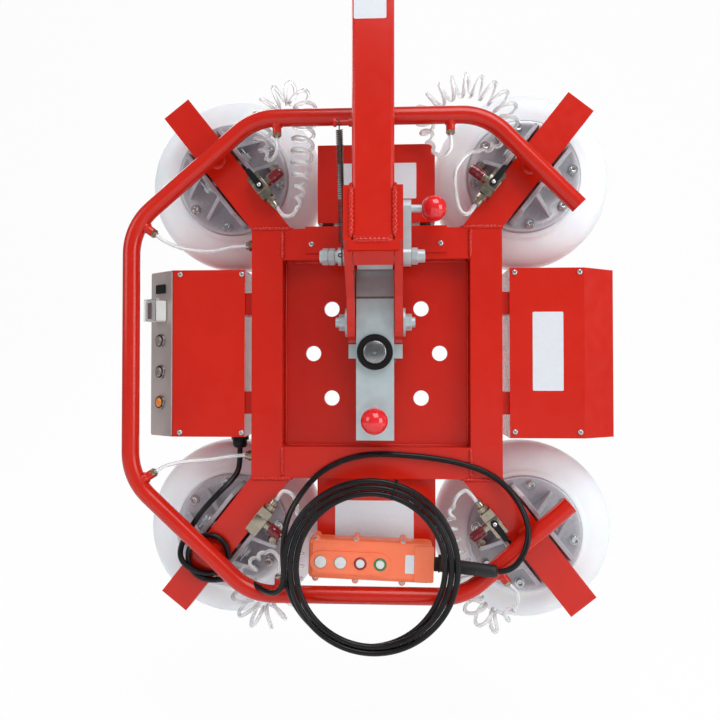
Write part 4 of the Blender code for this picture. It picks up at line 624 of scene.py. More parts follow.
frame_half = 0.200
rail_width = 0.050
arm_angle = math.radians(51.6)
arm_foot_half = rail_width / 2 / math.sin(arm_angle)
arm_foot_x = frame_half - arm_foot_half
corner_signs = {"ul": (-1, 1), "ur": (1, 1), "ll": (-1, -1), "lr": (1, -1)}
butt_bead = 0.0036
thin_bead = 0.0022
arm_side_bead = 0.0028
arm_front_bead = 0.0034
inner = frame_half - rail_width
frame_welds = []
for side, rise in corner_signs.values():
    for y in (-0.0002, 0.0502):
        frame_welds.append(weld_run((side * inner, y, rise * (inner + 0.001)),
                                    (side * inner, y, rise * (frame_half - 0.002)), butt_bead,
                                    ripple_length=0.0045, hollow=0.30))
    x, z = side * (inner - 0.0003), rise * (inner - 0.0003)
    frame_welds.append(weld_run((x, 0.004, z), (x, 0.046, z), thin_bead, sideways))
    z = rise * (frame_half + 0.0006)
    for end in (-1, 1):
        x = side * (arm_foot_x + end * arm_foot_half)
        frame_welds.append(weld_run((x, 0.003, z), (x, 0.047, z), arm_side_bead, sideways))
    z = rise * (frame_half + 0.0009)
    frame_welds.append(weld_run((side * (arm_foot_x - arm_foot_half), 0.0004, z),
                                (side * (arm_foot_x + arm_foot_half), 0.0004, z), arm_front_bead,
                                ripple_length=0.0055, hollow=0.26))
plate_corners = [(-1, 1), (1, 1), (1, -1), (-1, -1)]
plate_weld_x = 0.148
plate_weld_y = 0.0273
plate_weld_z = 0.1494
for (a_side, a_rise), (b_side, b_rise) in zip(plate_corners, plate_corners[1:] + plate_corners[:1]):
    frame_welds.append(weld_run((a_side * plate_weld_x, plate_weld_y, a_rise * plate_weld_z),
                                (b_side * plate_weld_x, plate_weld_y, b_rise * plate_weld_z), thin_bead))
make_piece("frame_weld_beads", frame_welds, powder_red)

# The handrail: 27 mm round steel tube, cold bent, its ends capped flat. It stands on a
# post at each arm, and carries air to small threaded bosses welded on it.
rail_radius = 0.0135
rail_y = -0.027
bend_radius = 0.095
rail_corners = np.array([
    (0.314, 0.226), (0.172, 0.370), (-0.190, 0.370), (-0.387, 0.200),
    (-0.387, -0.198), (-0.195, -0.376), (0.135, -0.376), (0.298, -0.233),
])


def bent_tube_line(corners, radius):
    """The middle line of a bent tube: straight between its corners, and at each corner
    an arc of the bend radius that starts radius tan(turn / 2) before it."""
    arc_points = 14
    line = [corners[0]]
    for before, corner, after in zip(corners, corners[1:], corners[2:]):
        come = (corner - before) / np.linalg.norm(corner - before)
        go = (after - corner) / np.linalg.norm(after - corner)
        bend = math.acos(np.clip(come @ go, -1, 1))
        back = radius * math.tan(bend / 2)
        hand = np.sign(come[0] * go[1] - come[1] * go[0])
        out = np.array([-come[1], come[0]]) * hand
        middle = corner - come * back + out * radius
        sweep_angle = np.linspace(0.0, bend, arc_points)[:, None]
        line.extend(middle - out * radius * np.cos(sweep_angle) + come * radius * np.sin(sweep_angle))
    line.append(corners[-1])
    return np.array(line)


flat_line = bent_tube_line(rail_corners, bend_radius)
rail_line = np.column_stack([flat_line[:, 0], np.full(len(flat_line), rail_y), flat_line[:, 1]])
rail_grids = [swept_grid(rail_line, rail_radius, facing, 32)]
# A post stands where each slanting run of the rail, from one of its corners to the next,
# crosses the middle of an arm.
post_places = []
for first, corner in ((0, "ur"), (2, "ul"), (4, "ll"), (6, "lr")):
    p, q = rail_corners[first], rail_corners[first + 1]
    side, rise = corner_signs[corner]
    foot = np.array([side * arm_foot_x, rise * frame_half])
    along = np.array([side * math.cos(arm_angle), rise * math.sin(arm_angle)])
    share = np.linalg.solve(np.column_stack([q - p, -along]), foot - p)
    post_places.append(p + (q - p) * share[0])
post_profile = [
    (-0.0006, 0.0), (-0.0006, 0.0148), (-0.0022, 0.0140), (-0.0034, 0.0118), (-0.0050, 0.0110),
    (-0.0170, 0.0110), (-0.0200, 0.0122), (-0.0240, 0.0122), (-0.0250, 0.0),
]
for x, z in post_places:
    rail_grids.append(turned_grid(post_profile, (x, 0.0, z), facing, 32))
# Each boss starts at a place on the rail and points a way in its plane.
boss_places = {
    "ul": ((-0.155, 0.370), (0.0, -1.0)), "ur": ((0.117, 0.370), (0.0, -1.0)),
    "ll": ((-0.150, -0.376), (0.0, 1.0)), "lr": ((0.1846, -0.3325), (0.6595, -0.7517)),
    "left_upper": ((-0.372, 0.205), (0.80, -0.60)), "left_lower": ((-0.372, -0.203), (0.85, 0.5268)),
}
boss_profile = [
    (0.006, 0.0), (0.006, 0.0088), (0.0138, 0.0092), (0.0152, 0.0076), (0.0164, 0.0071),
    (0.0245, 0.0071), (0.0250, 0.0066), (0.0250, 0.0),
]
for (x, z), (to_x, to_z) in boss_places.values():
    rail_grids.append(turned_grid(boss_profile, (x, rail_y, z), (to_x, 0.0, to_z), 28))
make_piece("bent_handrail", rail_grids, powder_red, stands_for=("handrail",))

# Push-in hose fittings on the handrail's bosses: nickel-plated brass bodies with a
# hexagon to turn them by and a short nose that holds the hose.
nickel, tree, output = new_material("nickel plated brass")
# Nickel plate is warm and bright, with cloudy patches of tarnish that dull it a little.
tarnish_cell = 0.0071429
tarnished = "#9A8F7C"
clean_nickel = "#BDB5A4"
spot = add_node(tree, "ShaderNodeTexCoord")
tarnish = add_node(tree, "ShaderNodeTexNoise", [("Scale", 1 / tarnish_cell), ("Detail", 4.0)],
                   [("Vector", spot.outputs["Object"])])
tone = add_node(tree, "ShaderNodeMix",
                [("data_type", "RGBA"), (6, linear(tarnished)), (7, linear(clean_nickel))],
                [(0, tarnish.outputs["Fac"])])
dull = add_node(tree, "ShaderNodeMapRange",
                [("From Min", 0.3), ("From Max", 0.7), ("To Min", 0.16), ("To Max", 0.34)],
                [("Value", tarnish.outputs["Fac"])])
shader = add_node(tree, "ShaderNodeBsdfPrincipled", [("Metallic", 1.0)],
                  [("Base Color", tone.outputs[2]), ("Roughness", dull.outputs[0])])
tree.links.new(shader.outputs[0], output.inputs["Surface"])

fitting_grids = []
fitting_hex = [
    (0.0246, 0.0), (0.0246, 0.0058), (0.0252, 0.0064), (0.0288, 0.0064), (0.0294, 0.0058), (0.0294, 0.0),
]
fitting_nose = [
    (0.0292, 0.0), (0.0292, 0.0046), (0.0302, 0.0050), (0.0312, 0.0050), (0.0316, 0.0036), (0.0316, 0.0),
]
for (x, z), (to_x, to_z) in boss_places.values():
    fitting_grids.append(turned_grid(fitting_hex, (x, rail_y, z), (to_x, 0.0, to_z), 36, 6))
    fitting_grids.append(turned_grid(fitting_nose, (x, rail_y, z), (to_x, 0.0, to_z), 24))
make_piece("handrail_hose_fittings", fitting_grids, nickel)

# Air fittings are nickel plated too: a block on each arm that a hose is pushed into,
# with a dark red see-through filter beside it.
dress(nickel, "air_valve_ul", "air_valve_ur", "air_valve_ll", "air_valve_lr")


def mottled(name, dark, light, cell, rough, bump, settings=()):
    """A material that drifts between two tones and two roughnesses over patches of a real
    size in metres, with a bump of a real height in metres. Settings are the shader's own
    sockets, constant over the surface."""
    grains_per_patch = 6
    made, tree, output = new_material(name)
    spot = add_node(tree, "ShaderNodeTexCoord")
    patch = add_node(tree, "ShaderNodeTexNoise", [("Scale", 1 / cell), ("Detail", 4.0)],
                     [("Vector", spot.outputs["Object"])])
    grain = add_node(tree, "ShaderNodeTexNoise", [("Scale", grains_per_patch / cell), ("Detail", 3.0)],
                     [("Vector", spot.outputs["Object"])])
    tone = add_node(tree, "ShaderNodeMix", [("data_type", "RGBA"), (6, linear(dark)), (7, linear(light))],
                    [(0, patch.outputs["Fac"])])
    dull = add_node(tree, "ShaderNodeMapRange", [("From Min", 0.3), ("From Max", 0.7), ("To Min", rough[0]),
                                                 ("To Max", rough[1])], [("Value", grain.outputs["Fac"])])
    relief = add_node(tree, "ShaderNodeBump", [("Strength", 0.6), ("Distance", bump)],
                      [("Height", grain.outputs["Fac"])])
    shader = add_node(tree, "ShaderNodeBsdfPrincipled", settings,
                      [("Base Color", tone.outputs[2]), ("Roughness", dull.outputs[0]),
                       ("Normal", relief.outputs[0])])
    tree.links.new(shader.outputs[0], output.inputs["Surface"])
    return made


# The hub: a flanged steel shaft bolted through the index plate, turned bright, and the
# black moulded ring that keeps the bar on it.
# Turned steel is bright and a little warm, with fine marks that blur its highlights.
turned_steel = mottled("turned bright steel", "#868A8A", "#A2A4A6", 0.005, (0.22, 0.34), 0.00002,
                       [("Metallic", 1.0)])
# Glass-filled nylon is a dull near black with a fine moulded grain.
black_nylon = mottled("moulded black nylon", "#0B0A0C", "#171618", 0.004, (0.34, 0.52), 0.00006,
                      [("IOR", 1.53), ("Specular IOR Level", 0.22)])
shaft_profile = [
    (-0.0600, 0.0), (-0.0592, 0.0028), (-0.0600, 0.0034), (-0.0600, 0.0158), (-0.0592, 0.0172),
    (-0.0580, 0.0180), (-0.0047, 0.0180), (-0.0047, 0.0280), (0.0097, 0.0280), (0.0097, 0.0330),
    (0.0107, 0.0340), (0.0277, 0.0340), (0.0277, 0.0180), (0.0610, 0.0180), (0.0620, 0.0168),
    (0.0620, 0.0),
]
nut_profile = [
    (0.0363, 0.0), (0.0363, 0.0262), (0.0373, 0.0277), (0.0513, 0.0277), (0.0523, 0.0262), (0.0523, 0.0),
]
on_axis = (0.0, 0.0, 0.0)
make_piece("swivel_shaft", [turned_grid(shaft_profile, on_axis, facing, 72),
                            turned_grid(nut_profile, on_axis, facing, 72, 6)],
           turned_steel, stands_for=("hub_shaft",))
ring_profile = [
    (-0.0563, 0.0184), (-0.0563, 0.0262), (-0.0556, 0.0272), (-0.0540, 0.0275), (-0.0466, 0.0275),
    (-0.0455, 0.0268), (-0.0455, 0.0184), (-0.0563, 0.0184),
]
make_piece("keeper_ring", [turned_grid(ring_profile, on_axis, facing, 72)], black_nylon,
           stands_for=("hub_ring",))

# The tilting bar is milled from flat steel and zinc plated, and so are the lock's pawl
# and lever. Zinc plate is pale and bluish, cloudy where it was handled.
zinc_steel = mottled("bright zinc plate", "#ABB9BC", "#C7D4D7", 0.014, (0.30, 0.46), 0.00003,
                     [("Metallic", 0.33)])
dress(zinc_steel, "swivel_bar", "lock_pawl", "lock_lever")
# Screws are zinc plated too, but cold headed, so they are smoother and mirror the lamps.
bright_screw = mottled("cold headed bright zinc", "#B4B8BA", "#D6D9DA", 0.003, (0.12, 0.24), 0.00001,
                       [("Metallic", 0.75)])

# Tilt pin and lock shaft: ground steel rods with plated washers and hexagon nuts at
# their ends, and a collar on the lock shaft for the spring's hook.
tilt_place = (0.0, -0.025, 0.047)
lock_place = (0.0, -0.045, 0.147)


def rod_profile(near, far, radius, chamfer=0.0006):
    """A round bar between two places along its axis, with chamfered ends."""
    return [(near, 0.0), (near, radius - chamfer), (near + chamfer, radius), (far - chamfer, radius),
            (far, radius - chamfer), (far, 0.0)]


nut_radius = 0.0117
nut_chamfer = 0.0010
pin_half_length = 0.062
pin_radius = 0.008
washer_radius = 0.0225
washer_span = (0.0426, 0.0466)
pin_nut_span = (0.0463, 0.0566)
tilt_rod = rod_profile(-pin_half_length, pin_half_length, pin_radius)
tilt_grids = [turned_grid(tilt_rod, tilt_place, sideways, 36)]
for side in (-1, 1):
    washer = sorted(side * place for place in washer_span)
    nut = sorted(side * place for place in pin_nut_span)
    tilt_grids.append(turned_grid(rod_profile(*washer, washer_radius), tilt_place, sideways, 48))
    tilt_grids.append(turned_grid(rod_profile(*nut, nut_radius, nut_chamfer), tilt_place, sideways, 48, 6))
make_piece("tilt_pivot_pin", tilt_grids, zinc_steel, "mast", stands_for=("tilt_pin",))
lock_radius = 0.010
lock_chamfer = 0.0012
lock_span = (-0.0850, 0.0765)
collar_radius = 0.014
collar_span = (-0.0568, -0.0433)
lock_nut_spans = ((-0.0810, -0.0714), (-0.0706, -0.0610), (0.0556, 0.0656))
lock_grids = [turned_grid(rod_profile(*lock_span, lock_radius, lock_chamfer), lock_place, sideways, 40),
              turned_grid(rod_profile(*collar_span, collar_radius), lock_place, sideways, 48)]
for span in lock_nut_spans:
    lock_grids.append(turned_grid(rod_profile(*span, nut_radius, nut_chamfer), lock_place, sideways, 48, 6))
make_piece("lock_cross_shaft", lock_grids, zinc_steel, "lock", stands_for=("lock_shaft",))
dress(turned_steel, "index_pin")

# The set screw that holds the collar on the lock shaft: hardened steel, blackened, with
# a hexagon socket that shows as a small dark eye on the collar's front.
black_oxide = mottled("black oxide steel", "#17171A", "#2B2B2E", 0.002, (0.34, 0.50), 0.00002,
                      [("Metallic", 0.6)])
set_screw_place = (-0.0525, -0.0589, 0.147)
set_screw = [
    (0.0020, 0.0), (0.0020, 0.0018), (-0.0004, 0.0019), (-0.0006, 0.0030), (0.0000, 0.0034),
    (0.0040, 0.0034), (0.0040, 0.0),
]
make_piece("collar_set_screw", [turned_grid(set_screw, set_screw_place, facing, 30)], black_oxide,
           "lock")

# Ball knobs: 40 mm balls moulded in red phenolic plastic, screwed on the lever's stem
# and on the index plunger. They are polished, so they mirror the lamps.
red_phenolic = mottled("polished red phenolic", "#DA1822", "#E62A2E", 0.010, (0.06, 0.12), 0.00001,
                       [("IOR", 1.58), ("Coat Weight", 0.4), ("Coat Roughness", 0.04)])
ball_radius = 0.020
flat_angle = 24.1
hole_chamfer = 0.0004
ball_angle = np.radians(np.linspace(180.0, flat_angle, 30))
ball_skin = [(ball_radius * math.cos(a), ball_radius * math.sin(a)) for a in ball_angle]
ball_skin[0] = (-ball_radius, 0.0)
ball_flat = ball_skin[-1][0]
# Each knob's middle, the way it faces its stem, the hole's radius and its bottom.
knobs = {
    "lever_ball_knob": ((0.090, -0.045, 0.220), (-1, 0, 0), 0.0063, 0.0117, "lock", "lock_ball"),
    "plunger_ball_knob": ((0.0, -0.085, -0.103), (0, 1, 0), 0.0073, 0.0067, "index", "index_ball"),
}
for name, (centre, axis, stem, depth, body, node) in knobs.items():
    knob = ball_skin + [(ball_flat, stem + hole_chamfer), (ball_flat - 0.0006, stem), (depth, stem),
                        (depth, 0.0)]
    make_piece(name, [turned_grid(knob, centre, axis, 64)], red_phenolic, body,
               stands_for=(node,))


def placed(grids, origin, along_x, along_y, along_z):
    """Carries grids from a piece's own axes to the lifter's: o + x X + y Y + z Z."""
    axes = np.array([along_x, along_y, along_z], float)
    return [(np.asarray(origin, float) + grid @ axes, rows, columns) for grid, rows, columns in grids]


def rounded_outline(width, height, radius, centre=(0.0, 0.0), steps=6):
    """A rounded rectangle's rim: four corner points, each grown by a quarter circle."""
    angle, sign = corner_turn(steps)
    half = np.array([width / 2 - radius, height / 2 - radius])
    return np.asarray(centre) + sign * half + radius * np.column_stack([np.cos(angle), np.sin(angle)])


def plate_grid(outline, low, high, edge=0.0006, along=1):
    """A flat plate cut to an outline: rings of the outline at low, low + edge, high -
    edge and high, the outer two drawn in by the edge along the rim's normals, and both
    faces closed to the outline's middle. Along is the axis that the thickness is on."""
    rim = np.asarray(outline, float)
    before, after = rim - np.roll(rim, 1, 0), np.roll(rim, -1, 0) - rim
    normal = np.column_stack([(before + after)[:, 1], -(before + after)[:, 0]])
    normal /= np.linalg.norm(normal, axis=1, keepdims=True)
    middle = rim.mean(axis=0)
    if np.sum(normal * (rim - middle)) < 0:
        normal = -normal
    inner = rim - normal * edge
    core = np.broadcast_to(middle, rim.shape)
    layers = [(core, low), (inner, low), (rim, low + edge), (rim, high - edge), (inner, high), (core, high)]
    flat = [k for k in range(3) if k != along]
    points = np.zeros((len(layers), len(rim), 3))
    for number, (ring, level) in enumerate(layers):
        points[number][:, flat] = ring
        points[number][:, along] = level
    return points, False, True


# The fork's cross plate: 6 mm flat steel set at a slope between the cheeks and welded to
# the mast's foot, so that it covers the pawl from the front.
cross_plate = np.array([(-0.1418, 0.1548), (-0.1108, 0.1238), (-0.1066, 0.1280), (-0.1334, 0.1548)])
plate_edge = 0.0008
make_piece("fork_cross_plate", [plate_grid(cross_plate, -mast_half, mast_half, plate_edge, 0)], powder_red,
           "mast")

# Suction pads: 300 mm bells moulded in milky silicone, thin at the lip and stepped
# where they are held to the casting. Silicone lets light sink in, so it looks pale
# blue white and soft, with a dull skin.
milky_silicone = mottled("moulded milky silicone", "#E3EAEF", "#EEF3F6", 0.030, (0.34, 0.50), 0.00008,
                         [("IOR", 1.41), ("Subsurface Weight", 0.45), ("Subsurface Scale", 0.015)])
# Sand-cast aluminium is pale grey with a pebbled skin.
cast_skin = mottled("sand cast aluminium", "#ADADB4", "#CFCED3", 0.0050, (0.36, 0.54), 0.00022,
                    [("Metallic", 0.76)])
# Dark red filter bowls are clear plastic with the folded filter showing through.
filter_red = mottled("dark red clear plastic", "#5A0E16", "#7C1822", 0.003, (0.12, 0.24), 0.00003,
                     [("IOR", 1.50), ("Coat Weight", 0.5)])
arm_length = 0.252
pin_from_arm_end = 0.1275
cup_reach = arm_length - pin_from_arm_end
cup_pin_y = 0.025
bell_outer = [
    (0.0473, 0.0), (0.0473, 0.0990), (0.0481, 0.1012), (0.0500, 0.1030), (0.0520, 0.1060),
    (0.0528, 0.1100), (0.0538, 0.1150), (0.0556, 0.1215), (0.0583, 0.1290), (0.0615, 0.1355),
    (0.0655, 0.1412), (0.0700, 0.1456), (0.0750, 0.1484), (0.0810, 0.1498), (0.0880, 0.1500),
    (0.0960, 0.1496), (0.0990, 0.1499), (0.1000, 0.1490),
]
bell_inner = [
    (0.0992, 0.1420), (0.0950, 0.1392), (0.0890, 0.1372), (0.0830, 0.1330), (0.0770, 0.1250),
    (0.0720, 0.1140), (0.0670, 0.1010), (0.0640, 0.0950), (0.0638, 0.0),
]
bell = [turned_grid(bell_outer + bell_inner, on_axis, facing, 96)]

# The casting is a rimmed disc with two cheeks that straddle the arm, a bored boss on
# each cheek for the pin, and a pair of fins that brace it.
disc_profile = [
    (0.0390, 0.0), (0.0390, 0.0800), (0.0384, 0.0815), (0.0378, 0.0860), (0.0378, 0.0915), (0.0388, 0.0938),
    (0.0405, 0.0950), (0.0455, 0.0950), (0.0470, 0.0940), (0.0470, 0.0),
]
cheek_span = (0.029, 0.037)
cheek_outline = np.array([(-0.0150, -0.062), (0.0430, -0.080), (0.0430, 0.080), (-0.0150, 0.062)])
cheek_edge = 0.0012
boss_span = (0.0365, 0.0405)
fin_outline = np.array([(0.033, -0.0110), (0.0350, -0.0110), (0.077, 0.0385), (0.077, 0.0430),
                        (0.033, 0.0430)])
fin_places = (-0.025, 0.025)
fin_half = 0.004
fin_edge = 0.0010
casting = [turned_grid(disc_profile, on_axis, facing, 96)]
for face in (-1, 1):
    near, far = sorted(face * place for place in cheek_span)
    casting.append(plate_grid(cheek_outline, near, far, cheek_edge, 0))
    for z in fin_places:
        casting.append(plate_grid(fin_outline * (face, 1), z - fin_half, z + fin_half, fin_edge, 2))
    near, far = sorted(face * place for place in boss_span)
    casting.append(turned_grid(rod_profile(near, far, 0.0120, 0.0010), on_axis, sideways, 40))

# Six socket-head screws on thick washers hold each pad to its casting.
bolt_circle = 0.0812
bolt_degrees = (45, 90, 135, 225, 270, 315)
pad_washer = rod_profile(0.0362, 0.0382, 0.0088, 0.0004)
socket_head = [
    (0.0345, 0.0), (0.0345, 0.0028), (0.0312, 0.0031), (0.0308, 0.0040), (0.0308, 0.0058),
    (0.0318, 0.0068), (0.0366, 0.0068), (0.0366, 0.0),
]
pad_screws = []
for degrees in bolt_degrees:
    a = math.radians(degrees)
    place = (bolt_circle * math.sin(a), 0.0, bolt_circle * math.cos(a))
    pad_screws.append(turned_grid(pad_washer, place, facing, 32))
    pad_screws.append(turned_grid(socket_head, place, facing, 36))

# A plated pin through arm and casting, with a wire ring clipped round each of its ends.
clip_wire = 0.0009
clip_x = 0.0432
clip_points = 40
clip_turn = np.linspace(0.0, 2 * math.pi, clip_points, endpoint=False)
clevis_pin = [turned_grid(rod_profile(-0.0468, 0.0468, 0.0064, 0.0008), on_axis, sideways, 32)]
for face in (-1, 1):
    clip = np.column_stack([np.full(clip_points, face * clip_x), -0.0010 + 0.0085 * np.cos(clip_turn),
                            0.0045 + 0.0125 * np.sin(clip_turn)])
    clevis_pin.append(swept_grid(clip, clip_wire, sideways, 8, True))

# The pad's air port: a nickel hexagon on the disc, a dark red filter bowl in front of it
# and a nickel cap.
port_place = (0.0640, 0.0, -0.0410)
port_metal = [turned_grid(rod_profile(0.0300, 0.0384, 0.0078, 0.0010), port_place, facing, 36, 6),
              turned_grid(rod_profile(-0.0020, 0.0040, 0.0062, 0.0010), port_place, facing, 32),
              turned_grid(rod_profile(0.0250, 0.0310, 0.0060, 0.0006), port_place, facing, 32)]
port_bowl = [turned_grid([(0.0035, 0.0), (0.0035, 0.0062), (0.0050, 0.0080), (0.0080, 0.0086),
                          (0.0130, 0.0080), (0.0150, 0.0086), (0.0200, 0.0080), (0.0220, 0.0086),
                          (0.0250, 0.0078), (0.0256, 0.0)], port_place, facing, 40)]


def arm_axes(corner, reach, depth):
    """The place at a reach along an arm's middle and at a depth, and the ways across the
    arm, away from the operator and outwards along it."""
    side, rise = corner_signs[corner]
    outward = np.array([side * math.cos(arm_angle), 0.0, rise * math.sin(arm_angle)])
    across_arm = np.array([-side * math.sin(arm_angle), 0.0, rise * math.cos(arm_angle)])
    middle = np.array([side * arm_foot_x, depth, rise * frame_half]) + outward * reach
    return middle, across_arm, facing, outward


for corner in corner_signs:
    axes = arm_axes(corner, cup_reach, cup_pin_y)
    body = "cup_" + corner
    make_piece("silicone_pad_" + corner, placed(bell, *axes), milky_silicone, body,
               50.0, ("suction_cup_" + corner,))
    make_piece("cast_clevis_" + corner, placed(casting, *axes), cast_skin, body,
               stands_for=("cup_casting_" + corner,))
    make_piece("pad_screws_" + corner, placed(pad_screws, *axes), bright_screw, body)
    make_piece("clevis_pin_" + corner, placed(clevis_pin, *axes), zinc_steel, "frame")
    make_piece("pad_port_" + corner, placed(port_metal, *axes), nickel, body)
    make_piece("port_filter_" + corner, placed(port_bowl, *axes), filter_red, body)

# Air valves: each nickel block has a hexagon and a grey-blue release ring where its
# hose goes in, a see-through filter bowl on its side, and on three of them a black
# lever held by a screw.
# Acetal is smooth and a little waxy, in the grey blue that marks a release ring.
release_blue = mottled("grey blue acetal", "#5C6E84", "#70839A", 0.004, (0.30, 0.42), 0.00003,
                       [("IOR", 1.48)])
dress(black_nylon, "valve_handle_ul", "valve_handle_ur", "valve_handle_lr")
valve_reach = 0.060
valve_side = 0.0283
valve_depth = -0.0113
hose_port = (valve_side, valve_depth, 0.0)
filter_line = (0.0, valve_depth, 0.0)
valve_metal = [
    turned_grid(rod_profile(-0.0310, -0.0215, 0.0072, 0.0008), hose_port, upright, 36, 6),
    turned_grid(rod_profile(-0.0392, -0.0310, 0.0061, 0.0008), hose_port, upright, 32),
    turned_grid(rod_profile(0.0212, 0.0250, 0.0070, 0.0008), hose_port, upright, 36, 6),
    turned_grid(rod_profile(0.0376, 0.0470, 0.0066, 0.0006), filter_line, sideways, 36, 6),
    turned_grid(rod_profile(0.0700, 0.0728, 0.0052, 0.0008), filter_line, sideways, 36),
    slab_grid((0.0180, -0.0228, -0.0090), (0.0386, -0.0100, 0.0090), 0.0008),
]
valve_bowl = [turned_grid([(0.0462, 0.0), (0.0462, 0.0070), (0.0476, 0.0092), (0.0510, 0.0092),
                           (0.0530, 0.0086), (0.0550, 0.0092), (0.0600, 0.0090), (0.0620, 0.0084),
                           (0.0640, 0.0088), (0.0680, 0.0082), (0.0700, 0.0074), (0.0708, 0.0)],
                          filter_line, sideways, 40)]
release_ring = [turned_grid(rod_profile(-0.0412, -0.0390, 0.0050, 0.0005), hose_port, upright, 28)]
handle_screw = [turned_grid([(-0.0310, 0.0), (-0.0306, 0.0018), (-0.0296, 0.0032), (-0.0280, 0.0034),
                             (-0.0280, 0.0)], (valve_side, 0.0, 0.0), facing, 28)]
corner_without_handle = "ll"
for corner in corner_signs:
    axes = arm_axes(corner, valve_reach, 0.0)
    make_piece("valve_fittings_" + corner, placed(valve_metal, *axes), nickel)
    make_piece("valve_filter_" + corner, placed(valve_bowl, *axes), filter_red)
    make_piece("release_ring_" + corner, placed(release_ring, *axes), release_blue)
    if corner != corner_without_handle:
        make_piece("handle_screw_" + corner, placed(handle_screw, *axes), bright_screw,
                   "valve_handle_" + corner)

# Ends of the two straight hoses: nickel fittings screwed into the frame's left rail.
rail_fitting_heights = (0.1765, -0.166)
rail_hex = rod_profile(-0.2085, -0.1995, 0.0078, 0.0008)
rail_nose = rod_profile(-0.2132, -0.2080, 0.0062, 0.0008)
rail_fittings = []
for z in rail_fitting_heights:
    rail_fittings.append(turned_grid(rail_hex, (0.0, 0.020, z), sideways, 36, 6))
    rail_fittings.append(turned_grid(rail_nose, (0.0, 0.020, z), sideways, 32))
make_piece("rail_hose_fittings", rail_fittings, nickel)

# The control panel: a thin brushed stainless plate fixed on the box's sloped face, with
# a dark display, a breaker behind a clear flap, and three bezelled push buttons.
# Brushed stainless is streaked along its length with fine scratches. They are drawn
# 0.6 mm apart, coarser than real ones, so that they show.
brushed_plate, tree, output = new_material("brushed stainless plate")
brush_pitch = 0.0006
brush_length = 0.083333
cloud_cell = 0.0625
dull_steel = "#B3A7A3"
pale_steel = "#CFC8C4"
spot = add_node(tree, "ShaderNodeTexCoord")
stretch = add_node(tree, "ShaderNodeMapping",
                   [("Scale", (1 / brush_pitch, 1 / brush_pitch, 1 / brush_length))],
                   [("Vector", spot.outputs["Object"])])
streak = add_node(tree, "ShaderNodeTexNoise", [("Scale", 1.0), ("Detail", 3.0)],
                  [("Vector", stretch.outputs[0])])
cloud = add_node(tree, "ShaderNodeTexNoise", [("Scale", 1 / cloud_cell), ("Detail", 2.0)],
                 [("Vector", spot.outputs["Object"])])
tone = add_node(tree, "ShaderNodeMix",
                [("data_type", "RGBA"), (6, linear(dull_steel)), (7, linear(pale_steel))],
                [(0, cloud.outputs["Fac"])])
dull = add_node(tree, "ShaderNodeMapRange",
                [("From Min", 0.3), ("From Max", 0.7), ("To Min", 0.28), ("To Max", 0.48)],
                [("Value", streak.outputs["Fac"])])
scratch = add_node(tree, "ShaderNodeBump", [("Strength", 0.4), ("Distance", 0.00004)],
                   [("Height", streak.outputs["Fac"])])
shader = add_node(tree, "ShaderNodeBsdfPrincipled", [("Metallic", 0.55)],
                  [("Base Color", tone.outputs[2]), ("Roughness", dull.outputs[0]),
                   ("Normal", scratch.outputs[0])])
tree.links.new(shader.outputs[0], output.inputs["Surface"])
# The display's window is dark acrylic, the breaker is pale grey urea with a brown
# rocker, its flap is clear polycarbonate, and the lamp's lens is amber acrylic. Acrylic
# and polycarbonate shine sharply, and moulded urea has a soft satin sheen.
dark_acrylic = mottled("dark acrylic window", "#0B0D0C", "#141716", 0.006, (0.05, 0.10), 0.00001,
                       [("IOR", 1.49)])
grey_urea = mottled("pale grey urea", "#C9CCC8", "#DADCD9", 0.005, (0.30, 0.42), 0.00003,
                    [("IOR", 1.50)])
brown_rocker = mottled("red brown urea", "#5B1F26", "#702A31", 0.003, (0.28, 0.40), 0.00003,
                       [("IOR", 1.50)])
clear_sheet = mottled("clear polycarbonate", "#F2F5F6", "#FFFFFF", 0.008, (0.04, 0.10), 0.00001,
                      [("IOR", 1.58), ("Transmission Weight", 0.92)])
amber_acrylic = mottled("amber acrylic lens", "#E0791A", "#F0922B", 0.003, (0.10, 0.20), 0.00006,
                        [("IOR", 1.49), ("Coat Weight", 0.4)])
# The panel's own axes: across the slope, into the box, and up.
panel_axes = ((-0.353, 0.022, 0.0), (0.8, -0.6, 0.0), (0.6, 0.8, 0.0), upright)
panel_outline = rounded_outline(0.0565, 0.268, 0.0025)
panel_front = -0.0023
panel_back = -0.0003
panel_edge = 0.0003
button_heights = {"panel_button_top": 0.021, "panel_button_middle": -0.030, "panel_button_lamp": -0.080}
panel = [plate_grid(panel_outline, panel_front, panel_back, panel_edge)]
make_piece("panel_plate", placed(panel, *panel_axes), brushed_plate,
           stands_for=("control_panel",))
window = [plate_grid(rounded_outline(0.024, 0.015, 0.0008, (0.0, 0.106)), -0.0053, -0.0020, 0.0005)]
make_piece("panel_display", placed(window, *panel_axes), dark_acrylic)
bezel_ring = [
    (-0.0023, 0.0084), (-0.0050, 0.0084), (-0.0063, 0.0090), (-0.0063, 0.0100), (-0.0054, 0.0112),
    (-0.0036, 0.0116), (-0.0023, 0.0116), (-0.0023, 0.0084),
]
dark_ring = [
    (-0.0060, 0.0083), (-0.0069, 0.0085), (-0.0072, 0.0091), (-0.0070, 0.0097), (-0.0060, 0.0099),
    (-0.0050, 0.0090), (-0.0060, 0.0083),
]
button_places = [(0.0, 0.0, z) for z in button_heights.values()]
bezels = [turned_grid(bezel_ring, place, facing, 48) for place in button_places]
make_piece("button_bezels", placed(bezels, *panel_axes), turned_steel)
dark_rings = [turned_grid(dark_ring, place, facing, 48) for place in button_places]
make_piece("button_dark_rings", placed(dark_rings, *panel_axes), black_nylon)
